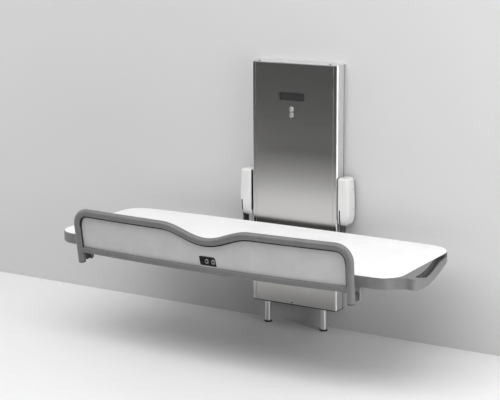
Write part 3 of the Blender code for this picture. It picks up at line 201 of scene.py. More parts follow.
# white laminate top: hard satin sheet with a fine pearl grain
whiteLaminate = grainedSkin("whiteLaminate", {
    "hex": "#f6f6f6", "hexDark": "#f0f0f0", "roughness": 0.38, "roughSpread": 0.05,
    "driftMm": 120, "grainMm": 2.2, "bump": 0.05,
})
# grey polyurethane moulding: dense integral-skin foam with a leathery grain
greyMoulding = grainedSkin("greyIntegralSkin", {
    "hex": "#7b7b7b", "hexDark": "#737373", "roughness": 0.50, "roughSpread": 0.06,
    "driftMm": 35, "grainMm": 1.8, "bump": 0.16,
})
# painted shade on the moulding, in the hand slot and on the face towards the wall: darker and more open-grained than
# the skin
paintedShadeMoulding = grainedSkin("greyMouldingPaintedShade", {
    "hex": "#585858", "hexDark": "#4a4a4a", "roughness": 0.70, "roughSpread": 0.06,
    "driftMm": 12, "grainMm": 1.0, "bump": 0.2,
})
# grey powder coat on steel: orange peel about 2 mm across
greyPaint = grainedSkin("greyPowderCoat", {
    "hex": "#8c8c8c", "hexDark": "#848484", "roughness": 0.40, "roughSpread": 0.05,
    "driftMm": 25, "grainMm": 2.0, "bump": 0.14,
})
# painted shade: a charcoal coat standing in for the shade where parts sit back under others, low sheen
paintedShadeCoat = grainedSkin("charcoalPaintedShade", {
    "hex": "#454545", "hexDark": "#3b3b3b", "roughness": 0.42, "roughSpread": 0.05,
    "driftMm": 25, "grainMm": 2.0, "bump": 0.12,
})
# coated tube: the same powder coat, a shade darker and smoother where hands polish it
greyTube = grainedSkin("greyCoatedTube", {
    "hex": "#767676", "hexDark": "#6e6e6e", "roughness": 0.36, "roughSpread": 0.06,
    "driftMm": 45, "grainMm": 2.0, "bump": 0.10,
})
# pale infill: satin sheet with very slight haze
paleInfill = grainedSkin("paleSatinSheet", {
    "hex": "#cbcbcb", "hexDark": "#c4c4c4", "roughness": 0.44, "roughSpread": 0.04,
    "driftMm": 90, "grainMm": 1.5, "bump": 0.05,
})
slotLooks = {
    "stainless_panel": stainless, "aluminium_trim": aluminium, "zinc_plate": zinc, "bright_steel": chrome,
    "machined_steel": machined, "black_plastic": blackPlastic, "bronze": bronze, "white_cover": whiteAbs,
    "white_platform": whiteLaminate, "grey_moulding": greyMoulding, "grey_painted_steel": greyPaint,
    "grey_coated_tube": greyTube, "pale_infill": paleInfill,
}
print("materials made:", len(bpy.data.materials))

# every CAD node takes its slot's finish first; the pieces below then stand for the ones that show
slotOf = {row["node"]: row["material_slot"] for row in frame["record"]["subparts"]}
bodyOf = {node: body for body, nodes in frame["record"]["behaviour"]["bodies"].items() for node in nodes}
for node, holder in frame["nodes"].items():
    holder.data.materials.clear()
    holder.data.materials.append(slotLooks[slotOf[node]])

bothSides = {"left": -1, "right": 1}


# modelling tools
def switchMode(mode):
    bpy.ops.object.mode_set(mode=mode)


def clearSelection():
    if bpy.context.object and bpy.context.object.mode != "OBJECT":
        switchMode("OBJECT")
    bpy.ops.object.select_all(action="DESELECT")


# place, turn and scale go into the mesh
def settle():
    bpy.ops.object.transform_apply(location=True, rotation=True, scale=True)


def workOn(piece):
    clearSelection()
    piece.select_set(True)
    bpy.context.view_layer.objects.active = piece


def pick(piece, kind, wanted):
    workOn(piece)
    switchMode("EDIT")
    bpy.ops.mesh.select_mode(type=kind)
    bpy.ops.mesh.select_all(action="DESELECT")
    switchMode("OBJECT")
    mesh = piece.data
    if kind == "VERT":
        for vert in mesh.vertices:
            vert.select = wanted(vert.co)
    elif kind == "EDGE":
        for edge in mesh.edges:
            edge.select = wanted(*[mesh.vertices[i].co for i in edge.vertices])
    else:
        for face in mesh.polygons:
            face.select = wanted(face.center, face.normal)
    switchMode("EDIT")


def addBlock(name, low, high):
    clearSelection()
    bpy.ops.mesh.primitive_cube_add(size=1, location=[(a + b) / 2 for a, b in zip(low, high)])
    block = bpy.context.object
    block.name = name
    block.scale = [b - a for a, b in zip(low, high)]
    settle()
    return block


def near(a, b, slack=1e-5):
    return abs(a - b) < slack


def runsDeep(a, b):   # an edge from front to back
    return near(a.x, b.x) and near(a.z, b.z)


def sliceAt(piece, axis, places):
    workOn(piece)
    switchMode("EDIT")
    for place in places:
        bpy.ops.mesh.select_all(action="SELECT")
        spot = [0, 0, 0]
        spot[axis] = place
        normal = [0, 0, 0]
        normal[axis] = 1
        bpy.ops.mesh.bisect(plane_co=spot, plane_no=normal)
    switchMode("OBJECT")


def bevelEdges(piece, width, segments, wanted):
    pick(piece, "EDGE", wanted)
    bpy.ops.mesh.bevel(offset=width, segments=segments, profile=0.5, affect="EDGES")
    switchMode("OBJECT")


def applyModifiers(piece):
    workOn(piece)
    for modifier in list(piece.modifiers):
        bpy.ops.object.modifier_apply(modifier=modifier.name)


def roundEdges(piece, width, segments=2, angle=40):
    bevel = piece.modifiers.new("rounding", "BEVEL")
    bevel.width = width
    bevel.segments = segments
    bevel.limit_method = "ANGLE"
    bevel.angle_limit = math.radians(angle)
    bevel.use_clamp_overlap = True
    applyModifiers(piece)


def carve(piece, tool, operation="DIFFERENCE"):
    boolean = piece.modifiers.new("carve", "BOOLEAN")
    boolean.operation = operation
    boolean.solver = "EXACT"
    boolean.object = tool
    applyModifiers(piece)
    bpy.data.objects.remove(tool, do_unlink=True)


def tidyMesh(piece, distance=1e-5):
    workOn(piece)
    switchMode("EDIT")
    bpy.ops.mesh.select_all(action="SELECT")
    bpy.ops.mesh.remove_doubles(threshold=distance)
    bpy.ops.mesh.normals_make_consistent(inside=False)
    switchMode("OBJECT")


def curvedPiece(name, path, settings, shares=None, closed=False, height=0.0):
    clearSelection()
    curve = bpy.data.curves.new(name, "CURVE")
    for key, value in settings.items():
        setattr(curve, key, value)
    line = curve.splines.new("POLY")
    line.points.add(len(path) - 1)
    line.use_cyclic_u = closed
    for point, spot, share in zip(line.points, path, shares or [1] * len(path)):
        point.co = (*spot, 1)
        point.radius = share
    piece = bpy.data.objects.new(name, curve)
    bpy.context.scene.collection.objects.link(piece)
    piece.location = (0, 0, height)
    workOn(piece)
    bpy.ops.object.convert(target="MESH")
    settle()
    tidyMesh(bpy.context.object)
    return bpy.context.object


def pipe(name, path, radius, roundness=6, shares=None):
    return curvedPiece(name, path, {
        "dimensions": "3D", "bevel_depth": radius, "bevel_resolution": roundness, "use_fill_caps": True,
    }, shares)


# an outline raised to a slab, with its upper and lower edges rounded
def slab(name, outline, low, high, rounding):
    return curvedPiece(name, [(x, y, 0) for x, y in outline], {
        "dimensions": "2D", "fill_mode": "BOTH", "extrude": (high - low) / 2 - rounding,
        "bevel_depth": rounding, "bevel_resolution": 3, "offset": -rounding,
    }, closed=True, height=(low + high) / 2)


# rings (radius, height) from the base up the axis, each extruded from the one before
def turnRings(name, rings, spot, axis, sides=48, hollow=False):
    clearSelection()
    bpy.ops.mesh.primitive_circle_add(vertices=sides, radius=rings[0][0], fill_type="NGON",
                                      location=(0, 0, rings[0][1]))
    piece = bpy.context.object
    piece.name = name
    settle()
    switchMode("EDIT")
    bpy.ops.mesh.select_mode(type="FACE")
    bpy.ops.mesh.select_all(action="SELECT")
    for (radius, height), (nextRadius, nextHeight) in zip(rings, rings[1:]):
        bpy.ops.mesh.extrude_region_move(TRANSFORM_OT_translate={"value": (0, 0, nextHeight - height)})
        share = nextRadius / radius
        bpy.ops.transform.resize(value=(share, share, 1), center_override=(0, 0, nextHeight))
    switchMode("OBJECT")
    if hollow:   # first and last ring are the same one, so the two discs on it come out
        pick(piece, "FACE", lambda spot, normal: abs(normal.z) > 0.9 and spot.xy.length < 1e-5)
        bpy.ops.mesh.delete(type="FACE")
        switchMode("OBJECT")
    turn = Vector((0, 0, 1)).rotation_difference(Vector(axis)).to_matrix().to_4x4()
    piece.matrix_world = Matrix.Translation(spot) @ turn
    settle()
    tidyMesh(piece, 1e-6)
    return piece


def finishPiece(piece, body, slotName, look=None, replaced=(), angle=35):
    workOn(piece)
    if look is not None or not piece.data.materials:
        piece.data.materials.clear()
        piece.data.materials.append(look or slotLooks[slotName])
    bpy.ops.object.shade_smooth_by_angle(angle=math.radians(angle))
    facing = piece.modifiers.new("facing", "WEIGHTED_NORMAL")   # flat faces stay flat beside rounded edges
    facing.keep_sharp = True
    applyModifiers(piece)
    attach(piece, body)
    if replaced:
        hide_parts(*replaced)
    return piece


# a piece that stands for a CAD node rides with its body, hides the node, and takes its slot's finish unless it is given
# another look or already has materials
def standFor(piece, node, look=None, angle=35):
    return finishPiece(piece, bodyOf[node], slotOf[node], look, (node,), angle)


def twoTone(piece, main, other, isOther):
    piece.data.materials.clear()
    piece.data.materials.append(main)
    piece.data.materials.append(other)
    for face in piece.data.polygons:
        face.material_index = 1 if isOther(face) else 0


# a copy of a CAD node, merged, with its flat faces cleaned and its edges broken
def dressNode(node, pieceName, edge, segments=2, angle=40, look=None):
    clearSelection()
    source = frame["nodes"][node]
    piece = bpy.data.objects.new(pieceName, source.data.copy())
    bpy.context.scene.collection.objects.link(piece)
    workOn(piece)
    switchMode("EDIT")
    bpy.ops.mesh.select_all(action="SELECT")
    bpy.ops.mesh.remove_doubles(threshold=1e-6)
    bpy.ops.mesh.dissolve_limited(angle_limit=math.radians(1))
    switchMode("OBJECT")
    roundEdges(piece, edge, segments, angle)
    return standFor(piece, node, look)


# bench: a white sheet let into grey mouldings
bench = {
    "seam": 0.70,             # the rims end here, and the edges' bow is measured here
    "frontBow": 0.020,
    "backBow": 0.0136,
    "front": -0.757,
    "back": -0.1204,
    "left": 0.846,
    "leftCorner": 0.100,
    "right": 0.827,
    "rightCorner": 0.092,
    "rightBackCorner": 0.112,
    "slant": 0.005,           # the right end comes in by this much towards the wall
    "lip": 0.0025,            # grey edge round the sheet
    "seatGap": 0.0003,
    "cutAbove": 0.01,         # the seat is cut to this far over the top
    "edge": 0.0012,
    "columns": 26,
    "columnsIn": 0.002,       # the first and last cut stand this far to the left of the turns
    "cornerSteps": 18,
    "endFrom": 0.8,           # the right end's corners lie past here
}
benchMiddle = (bench["front"] + bench["back"]) / 2
topLow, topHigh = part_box("platform_top")
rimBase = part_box("front_rim")[0].z
benchTop = topHigh.z


def frontEdge(x):
    return bench["front"] + bench["frontBow"] * (x / bench["seam"]) ** 2


def backEdge(x):
    return bench["back"] - bench["backBow"] * (x / bench["seam"]) ** 2


def arcPoints(centre, radius, start, stop, steps=16):
    angles = [math.radians(start + (stop - start) * step / steps) for step in range(steps + 1)]
    return [(centre[0] + radius * math.cos(a), centre[1] + radius * math.sin(a)) for a in angles]


# a block cut into columns whose front and back edges are moved to their lines
def bowedBlock(name, low, high, columns, frontAt, backAt):
    block = addBlock(name, low, high)
    sliceAt(block, 0, columns)
    for x in [low[0], *columns, high[0]]:
        for edge, place in ((low[1], frontAt(x)), (high[1], backAt(x))):
            pick(block, "VERT", lambda spot: near(spot.x, x) and near(spot.y, edge))
            bpy.ops.transform.translate(value=(0, place - edge, 0))
            switchMode("OBJECT")
    return block


# the bench's plan as a block, moved in by an inset
def benchPlate(name, inset, base, top):
    leftTurn = bench["leftCorner"] - bench["left"]
    rightTurn = bench["right"] - bench["rightBackCorner"] - bench["slant"]
    frontTurn = bench["right"] - bench["rightCorner"]
    left, right = inset - bench["left"], bench["right"] - inset
    start, stop = leftTurn - bench["columnsIn"], rightTurn - bench["columnsIn"]
    columns = [start + (stop - start) * step / bench["columns"] for step in range(bench["columns"] + 1)]
    plate = bowedBlock(
        name, (left, bench["front"], base), (right, bench["back"], top), columns,
        lambda x: frontEdge(min(max(x, leftTurn), frontTurn)) + inset,
        lambda x: backEdge(min(max(x, leftTurn), rightTurn)) - inset,
    )
    pick(plate, "VERT", lambda spot: near(spot.x, right) and spot.y > benchMiddle)
    bpy.ops.transform.translate(value=(-bench["slant"], 0, 0))
    switchMode("OBJECT")
    for corner, wanted in (
        (bench["leftCorner"] - inset, lambda spot: near(spot.x, left)),
        (bench["rightCorner"] - inset, lambda spot: spot.x > bench["endFrom"] and spot.y < benchMiddle),
        (bench["rightBackCorner"] - inset, lambda spot: spot.x > bench["endFrom"] and spot.y > benchMiddle),
    ):
        bevelEdges(plate, corner, bench["cornerSteps"],
                   lambda a, b: wanted(a) and wanted(b) and near(a.x, b.x) and near(a.y, b.y))
    return plate


sheet = benchPlate("benchSheet", bench["lip"], topLow.z, benchTop)
roundEdges(sheet, bench["edge"], 3, 60)
# painted shade: its edge and underside are black, for the dark gap line at the front and over the hand slot
twoTone(sheet, whiteLaminate, blackRubber, lambda face: face.normal.z <= 0.3)
standFor(sheet, "platform_top")
print("bench sheet done")


# the sheet's seat is cut out of each moulding, which leaves the lip standing
def cutSeat(piece):
    gap = bench["seatGap"]
    carve(piece, benchPlate("seatCutter", bench["lip"] - gap, topLow.z - gap, benchTop + bench["cutAbove"]))


rim = {"width": 0.025, "rounding": 0.004, "columns": 22, "frontStep": 0.0022}


def makeRim(name, node, edgeAt, inward, top):
    half = bench["seam"] - bench["seatGap"]
    columns = [-half + 2 * half * step / rim["columns"] for step in range(1, rim["columns"])]
    lines = [edgeAt, lambda x: edgeAt(x) + inward]
    frontAt, backAt = lines if inward > 0 else lines[::-1]
    low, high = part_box(node)
    bar = bowedBlock(name, (-half, low.y, low.z), (half, high.y, top), columns, frontAt, backAt)
    bevelEdges(bar, rim["rounding"], 4, lambda a, b: abs(a.x - b.x) > 0.01)
    cutSeat(bar)
    # the face towards the wall is in painted shade
    twoTone(bar, greyMoulding, paintedShadeMoulding, lambda face: face.normal.y > 0.8 and inward < 0)
    standFor(bar, node)


makeRim("frontRim", "front_rim", frontEdge, rim["width"], benchTop - rim["frontStep"])
makeRim("rearRim", "rear_rim", backEdge, -rim["width"], benchTop)

ends = {
    "rounding": 0.005,
    "bodyRounding": 0.003,    # of the right end, beside its grip
    "leftPocket": -0.782,
    "rightPocket": 0.763,
    "shoulder": 0.046,
    "reach": 0.0729,
    "grip": 0.0160,
    "drop": 0.0178,           # the grip eases down to this far below the bench top
    "ease": 0.11,             # over this length from the front of the slot
    "slot": 0.0150,
    "tuck": 0.0003,           # the grip's ends start this far inside the body
    "slotFront": 0.087,
    "slotBack": 0.080,
    # the black strip of painted shade along the ledge's edge
    "trim": 0.0016,
    "shadeLineDown": 0.00384,
    "shadeLineOut": 0.0004,
    "stub": 5,                # points by which the grip runs on into the body
}


def pocketLine(pocket):
    seam = bench["seam"] * (1 if pocket > 0 else -1)
    turn = ends["shoulder"] * (1 if pocket > 0 else -1)
    front, back = frontEdge(seam) + rim["width"], backEdge(seam) - rim["width"]
    return [(seam, back), (pocket - turn, back), (pocket, back - ends["shoulder"]),
            (pocket, front + ends["shoulder"]), (pocket - turn, front), (seam, front)]


def makeLeftEnd():
    seam = -bench["seam"]
    corner = bench["leftCorner"]
    turn = corner - bench["left"]
    line = [(seam, backEdge(seam))]
    line += arcPoints((turn, backEdge(turn) - corner), corner, 90, 180)
    line += arcPoints((turn, frontEdge(turn) + corner), corner, 180, 270)
    line += [(seam, frontEdge(seam))]
    piece = slab("leftEndMoulding", line + pocketLine(ends["leftPocket"])[::-1], rimBase, benchTop, ends["rounding"])
    cutSeat(piece)
    standFor(piece, "left_end_moulding")


def smoothLine(points, steps=10):
    padded = [points[0], *points, points[-1]]
    line = []
    for before, start, stop, after in zip(padded, padded[1:], padded[2:], padded[3:]):
        for step in range(steps):
            t = step / steps
            line.append(tuple(
                0.5 * (2 * b + (c - a) * t + (2 * a - 5 * b + 4 * c - d) * t ** 2 + (3 * b - a - 3 * c + d) * t ** 3)
                for a, b, c, d in zip(before, start, stop, after)))
    return line + [points[-1]]


def offsetLine(line, distance):
    moved = []
    for index, (x, y) in enumerate(line):
        before, after = line[max(index - 1, 0)], line[min(index + 1, len(line) - 1)]
        along = Vector((after[0] - before[0], after[1] - before[1])).normalized()
        moved.append((x - along.y * distance, y + along.x * distance))
    return moved


def handleLine():
    seam, end, reach, bend = bench["seam"], bench["right"], ends["reach"], bench["rightCorner"]
    front, back, tip = frontEdge(seam), backEdge(seam), bench["right"] + ends["reach"]
    backBend = bench["rightBackCorner"]
    turn = end - bend
    frontTurn = arcPoints((turn, frontEdge(turn) + bend), bend, -90, -38, 2)
    turn = end - bench["slant"] - backBend
    backTurn = arcPoints((turn, backEdge(turn) - backBend), backBend, 10, 70, 2)
    return smoothLine([
        (seam, front), *frontTurn,
        (end + 0.28 * reach, front + 0.63 * bend), (end + 0.70 * reach, front + 0.64 * bend),
        (tip - 0.04 * reach, front + 0.95 * bend), (tip, front + 1.43 * bend),
        (tip - 0.10 * reach, front + 2.20 * bend), (tip - 0.38 * reach, front + 3.28 * bend),
        (end + 0.22 * reach, back - 2.00 * bend), *backTurn, (seam, back),
    ])


# full-height body with the ledge, and a lower grip bar joined to it at both ends
def makeRightEnd():
    outer = handleLine()
    slotFront = frontEdge(bench["seam"]) + ends["slotFront"]
    slotBack = backEdge(bench["seam"]) - ends["slotBack"]
    beside = [i for i, (x, y) in enumerate(outer) if slotFront < y < slotBack]
    first, last = beside[0], beside[-1]
    ledge = offsetLine(outer, ends["grip"] + ends["slot"])
    inside = offsetLine(outer, ends["grip"])
    tucked = offsetLine(outer, ends["tuck"])
    body = outer[:first] + ledge[first:last + 1] + outer[last + 1:] + pocketLine(ends["rightPocket"])
    piece = slab("rightEndHandle", body, rimBase, benchTop, ends["bodyRounding"])
    stub = ends["stub"]
    gripLine = tucked[first - stub:first] + outer[first:last + 1] + tucked[last + 1:last + 1 + stub]
    gripLine += inside[first - stub:last + 1 + stub][::-1]
    grip = slab("gripBar", gripLine, rimBase, benchTop, ends["rounding"])
    start = outer[first - stub][1]
    for vert in grip.data.vertices:
        share = min(max((vert.co.y - start) / ends["ease"], 0.0), 1.0)
        height = (vert.co.z - rimBase) / (benchTop - rimBase)
        if height > 0.5:
            vert.co.z -= ends["drop"] * share * share * (3 - 2 * share)
    carve(piece, grip, "UNION")
    cutSeat(piece)
    slotWall = [Vector(spot) for spot in ledge[first:last + 1]]

    def inSlot(face):
        away = min((face.center.xy - spot).length for spot in slotWall)
        return away < ends["slot"] / 2 and face.normal.x > 0.3 and abs(face.normal.z) < 0.5

    # painted shade: the slot's inner wall takes the darker moulding
    twoTone(piece, greyMoulding, paintedShadeMoulding, inSlot)
    standFor(piece, "right_end_handle")
    # painted shade: a black strip along the ledge's edge stands for the dark gap line under it
    edgeLine = offsetLine(ledge, -ends["shadeLineOut"])[first + 1:last]
    strip = pipe("ledgeShadeLine", [(x, y, benchTop - ends["shadeLineDown"]) for x, y in edgeLine], ends["trim"], 2)
    finishPiece(strip, "bench", "black_plastic", blackRubber)


makeLeftEnd()
makeRightEnd()
for node, name in (("front_cross_tube", "frontCrossTube"), ("rear_cross_tube", "rearCrossTube")):
    dressNode(node, name, 0.0008)
for side in bothSides:
    # the support arms are in painted shade, for the dark under the covers
    dressNode(f"{side}_support_arm", f"{side}SupportArm", 0.0016, 3, look=paintedShadeCoat)
print("rims, ends and arms done")

# guard rail
rail = {
    "pivot": (-0.72, 0.3985 + floorHeight),
    "standoff": 0.0574, "footDrop": 0.0177,
    "lean": math.radians(6.7), "splay": math.radians(1.1),
    "bow": 0.0215, "halfSpan": 0.6613, "rise": 0.2346,
    "tube": 0.0162, "corner": 0.060, "middle": 0.010,
    "dip": 0.049, "dipHalf": 0.215, "plug": 0.006,
    "sheet": 0.004, "shadeBead": 0.0045, "sill": 0.005, "setBack": 0.005, "legShadeBead": 0.5,
    "barLow": 0.050, "barHigh": 0.0735, "barDepth": 0.020,
    "window": (0.082, 0.047, 0.010, 0.006),   # width, height, corner, slant
    "clear": 0.001, "slopeStep": 0.004, "legSteps": 6, "cornerSteps": 14, "topSteps": 110,
    "infillGrid": (160, 10), "barColumns": 24, "barRound": 0.0035, "barTuck": 0.4,
    "cutFront": 0.06, "cutBack": 0.03,        # how far the window's cutter reaches
}


def railPoint(x, rise, out=0.0):
    up = Vector((0, -math.sin(rail["lean"]), math.cos(rail["lean"])))
    outward = Vector((0, -math.cos(rail["lean"]), -math.sin(rail["lean"])))
    foot = Vector((x, rail["pivot"][0] - rail["standoff"], rail["pivot"][1] - rail["footDrop"]))
    bow = rail["bow"] * (1 - (x / rail["halfSpan"]) ** 2)
    return foot + up * rise + outward * (out + bow)


def legX(rise):
    return rail["halfSpan"] + rise * math.tan(rail["splay"])


def dipAt(x):
    share = (x - rail["middle"]) / rail["dipHalf"]
    return rail["dip"] * 0.5 * (1 + math.cos(math.pi * share)) if abs(share) < 1 else 0.0


def dipSlope(x, step):
    return (dipAt(x + step) - dipAt(x - step)) / (2 * step)


# the hoop's line in (x, rise), moved inwards by a distance for the black bead of painted shade
def hoopLine(inset=0.0, foot=None):
    corner = rail["corner"] - inset
    shoulder = rail["rise"] - rail["corner"]
    turn = legX(shoulder) - rail["corner"]
    start = rail["plug"] if foot is None else foot
    rises = [start + (shoulder - start) * step / rail["legSteps"] for step in range(rail["legSteps"] + 1)]
    leg = [(-legX(rise) + inset, rise) for rise in rises]
    left = leg + arcPoints((-turn, shoulder), corner, 180, 90, rail["cornerSteps"])[1:]
    across = [-turn + 2 * turn * step / rail["topSteps"] for step in range(1, rail["topSteps"])]
    slopes = [dipSlope(x, rail["slopeStep"]) for x in across]
    top = [(x, rail["rise"] - dipAt(x) - inset * math.sqrt(1 + slope ** 2)) for x, slope in zip(across, slopes)]
    return left + top + [(-x, rise) for x, rise in reversed(left)]


hoop = pipe("railHoop", [railPoint(x, rise) for x, rise in hoopLine()], rail["tube"], 8)
standFor(hoop, "rail_hoop")
# painted shade: a black bead along the hoop's inside stands for the contact shadow under the tube
shadeBeadLine = hoopLine(rail["tube"] + rail["clear"], rail["barHigh"])
shoulder = rail["rise"] - rail["corner"]
shadeBead = pipe("hoopShadeBead", [railPoint(x, rise, rail["clear"]) for x, rise in shadeBeadLine], rail["shadeBead"], 2,
            [rail["legShadeBead"] if abs(x) > rail["halfSpan"] - rail["corner"] and rise < shoulder else 1.0
             for x, rise in shadeBeadLine])   # thinner along the legs
finishPiece(shadeBead, "rail", "black_plastic", blackRubber)


# the infill sheet is shaped row by row to the hoop's inside, because its top edge is a free curve
def makeInfill():
    clearSelection()
    columns, rows = rail["infillGrid"]
    bpy.ops.mesh.primitive_grid_add(x_subdivisions=columns, y_subdivisions=rows, size=2)
    sheet = bpy.context.object
    sheet.name = "railInfill"
    clear = rail["tube"] + rail["clear"]
    inner = rail["corner"] - clear
    turn = legX(rail["rise"] - rail["corner"]) - rail["corner"]
    low = rail["barHigh"] + 0.0003
    for vert in sheet.data.vertices:
        across = legX(low + (rail["rise"] - rail["corner"] - low) * (vert.co.y + 1) / 2) - clear
        x = across * math.sin(vert.co.x * math.pi / 2)
        past = min(max(abs(x) - turn, 0.0), inner)
        turned = inner - math.sqrt(inner ** 2 - past ** 2)
        high = rail["rise"] - dipAt(x) - clear * math.sqrt(1 + dipSlope(x, rail["tube"] / 2) ** 2) - turned
        vert.co = railPoint(x, low + (high - low) * (vert.co.y + 1) / 2, -rail["setBack"])
    wall = sheet.modifiers.new("thickness", "SOLIDIFY")
    wall.thickness = rail["sheet"]
    wall.offset = 0
    applyModifiers(sheet)
    width, height, corner, slant = rail["window"]
    left, right = rail["middle"] - width / 2, rail["middle"] + width / 2
    sill, head = railPoint(rail["middle"], low + rail["sill"]), railPoint(rail["middle"], low + height)
    cutter = addBlock("windowCutter", (left, sill.y - rail["cutFront"], sill.z),
                      (right, sill.y + rail["cutBack"], head.z))
    bevelEdges(cutter, corner, 6, lambda a, b: runsDeep(a, b) and a.z > head.z - 1e-4)
    bevelEdges(cutter, corner / 3, 4, lambda a, b: runsDeep(a, b) and a.z < sill.z + 1e-4)
    for vert in cutter.data.vertices:
        vert.co.x += slant * (head.z - vert.co.z) / (head.z - sill.z)
    carve(sheet, cutter)
    standFor(sheet, "rail_panel")


makeInfill()


def makeLowerBar():
    half = rail["halfSpan"] - rail["tube"] * rail["barTuck"]   # its ends run into the legs
    foot = railPoint(0, 0)
    columns = [-half + 2 * half * step / rail["barColumns"] for step in range(1, rail["barColumns"])]
    deep = rail["barDepth"] / 2

    def middleAt(x):
        return foot.y + rail["bow"] * (x / rail["halfSpan"]) ** 2

    bar = bowedBlock(
        "railLowerBar",
        (-half, foot.y - deep, foot.z + rail["barLow"]), (half, foot.y + deep, foot.z + rail["barHigh"]),
        columns, lambda x: middleAt(x) - deep, lambda x: middleAt(x) + deep,
    )
    bevelEdges(bar, rail["barRound"], 4, lambda a, b: abs(a.x - b.x) > 0.01)
    lean = Matrix.Rotation(rail["lean"], 4, "X")
    bar.matrix_world = Matrix.Translation(foot) @ lean @ Matrix.Translation(-foot)
    workOn(bar)
    settle()
    standFor(bar, "rail_lower_bar")


makeLowerBar()
for side, sign in bothSides.items():
    foot = railPoint(sign * legX(0), 0)
    along = (railPoint(sign * legX(0.1), 0.1) - foot).normalized()
    tube = rail["tube"]
    plug = turnRings(f"{side}LegPlug", [(0.6 * tube, 0), (0.85 * tube, 0.0008), (0.95 * tube, 0.0022), (tube, 0.0026),
                                        (tube, rail["plug"] - 0.0003)], foot, along)
    standFor(plug, f"{side}_leg_plug")
    # painted shade: the left bracket and both lugs are charcoal, the right bracket keeps its slot's finish
    dressNode(f"{side}_rail_bracket", f"{side}RailBracket", 0.0012, look=paintedShadeCoat if side == "left" else None)
    dressNode(f"{side}_rail_lug", f"{side}RailLug", 0.0009, look=paintedShadeCoat)
print("guard rail done")

# covers over the hinges; the column's section comes first, because the black strips of painted shadow beside the covers
# run along it
column = {
    "half": 0.221, "depth": 0.070, "corner": 0.011, "wall": 0.003,
    "wallSlot": 0.012, "returnWidth": 0.020,
    "panelHalf": 0.199, "groove": 0.0008, "panelEdge": 0.0009,
}
cover = {
    "wall": 0.0025, "edge": 0.013, "topRound": 0.016, "topBevel": 0.012,
    "tuckHeight": 0.061, "tuckSide": 0.020, "tuckFront": 0.013, "tuckSteps": 10,
    "taperSide": 0.007, "taperFrom": 0.45, "taperSteps": 5,
    "slotFromLeft": 0.0135, "slotWidth": 0.007, "slotHeight": 0.0705,   # the bench arm's web swings up here
    "shadowStripGap": 0.0006, "shadowStripFront": -0.0705, "shadowStripBack": -0.035,
    "shadowStripLow": 0.02, "shadowStripTop": 0.006, "shadowStripRound": 0.008, "shadowStripTouch": 0.0002, "shadowStripEdge": 0.0006,
    "screw": 0.0032, "screwLevels": (0.24, 0.66), "screwIn": 0.014,
}


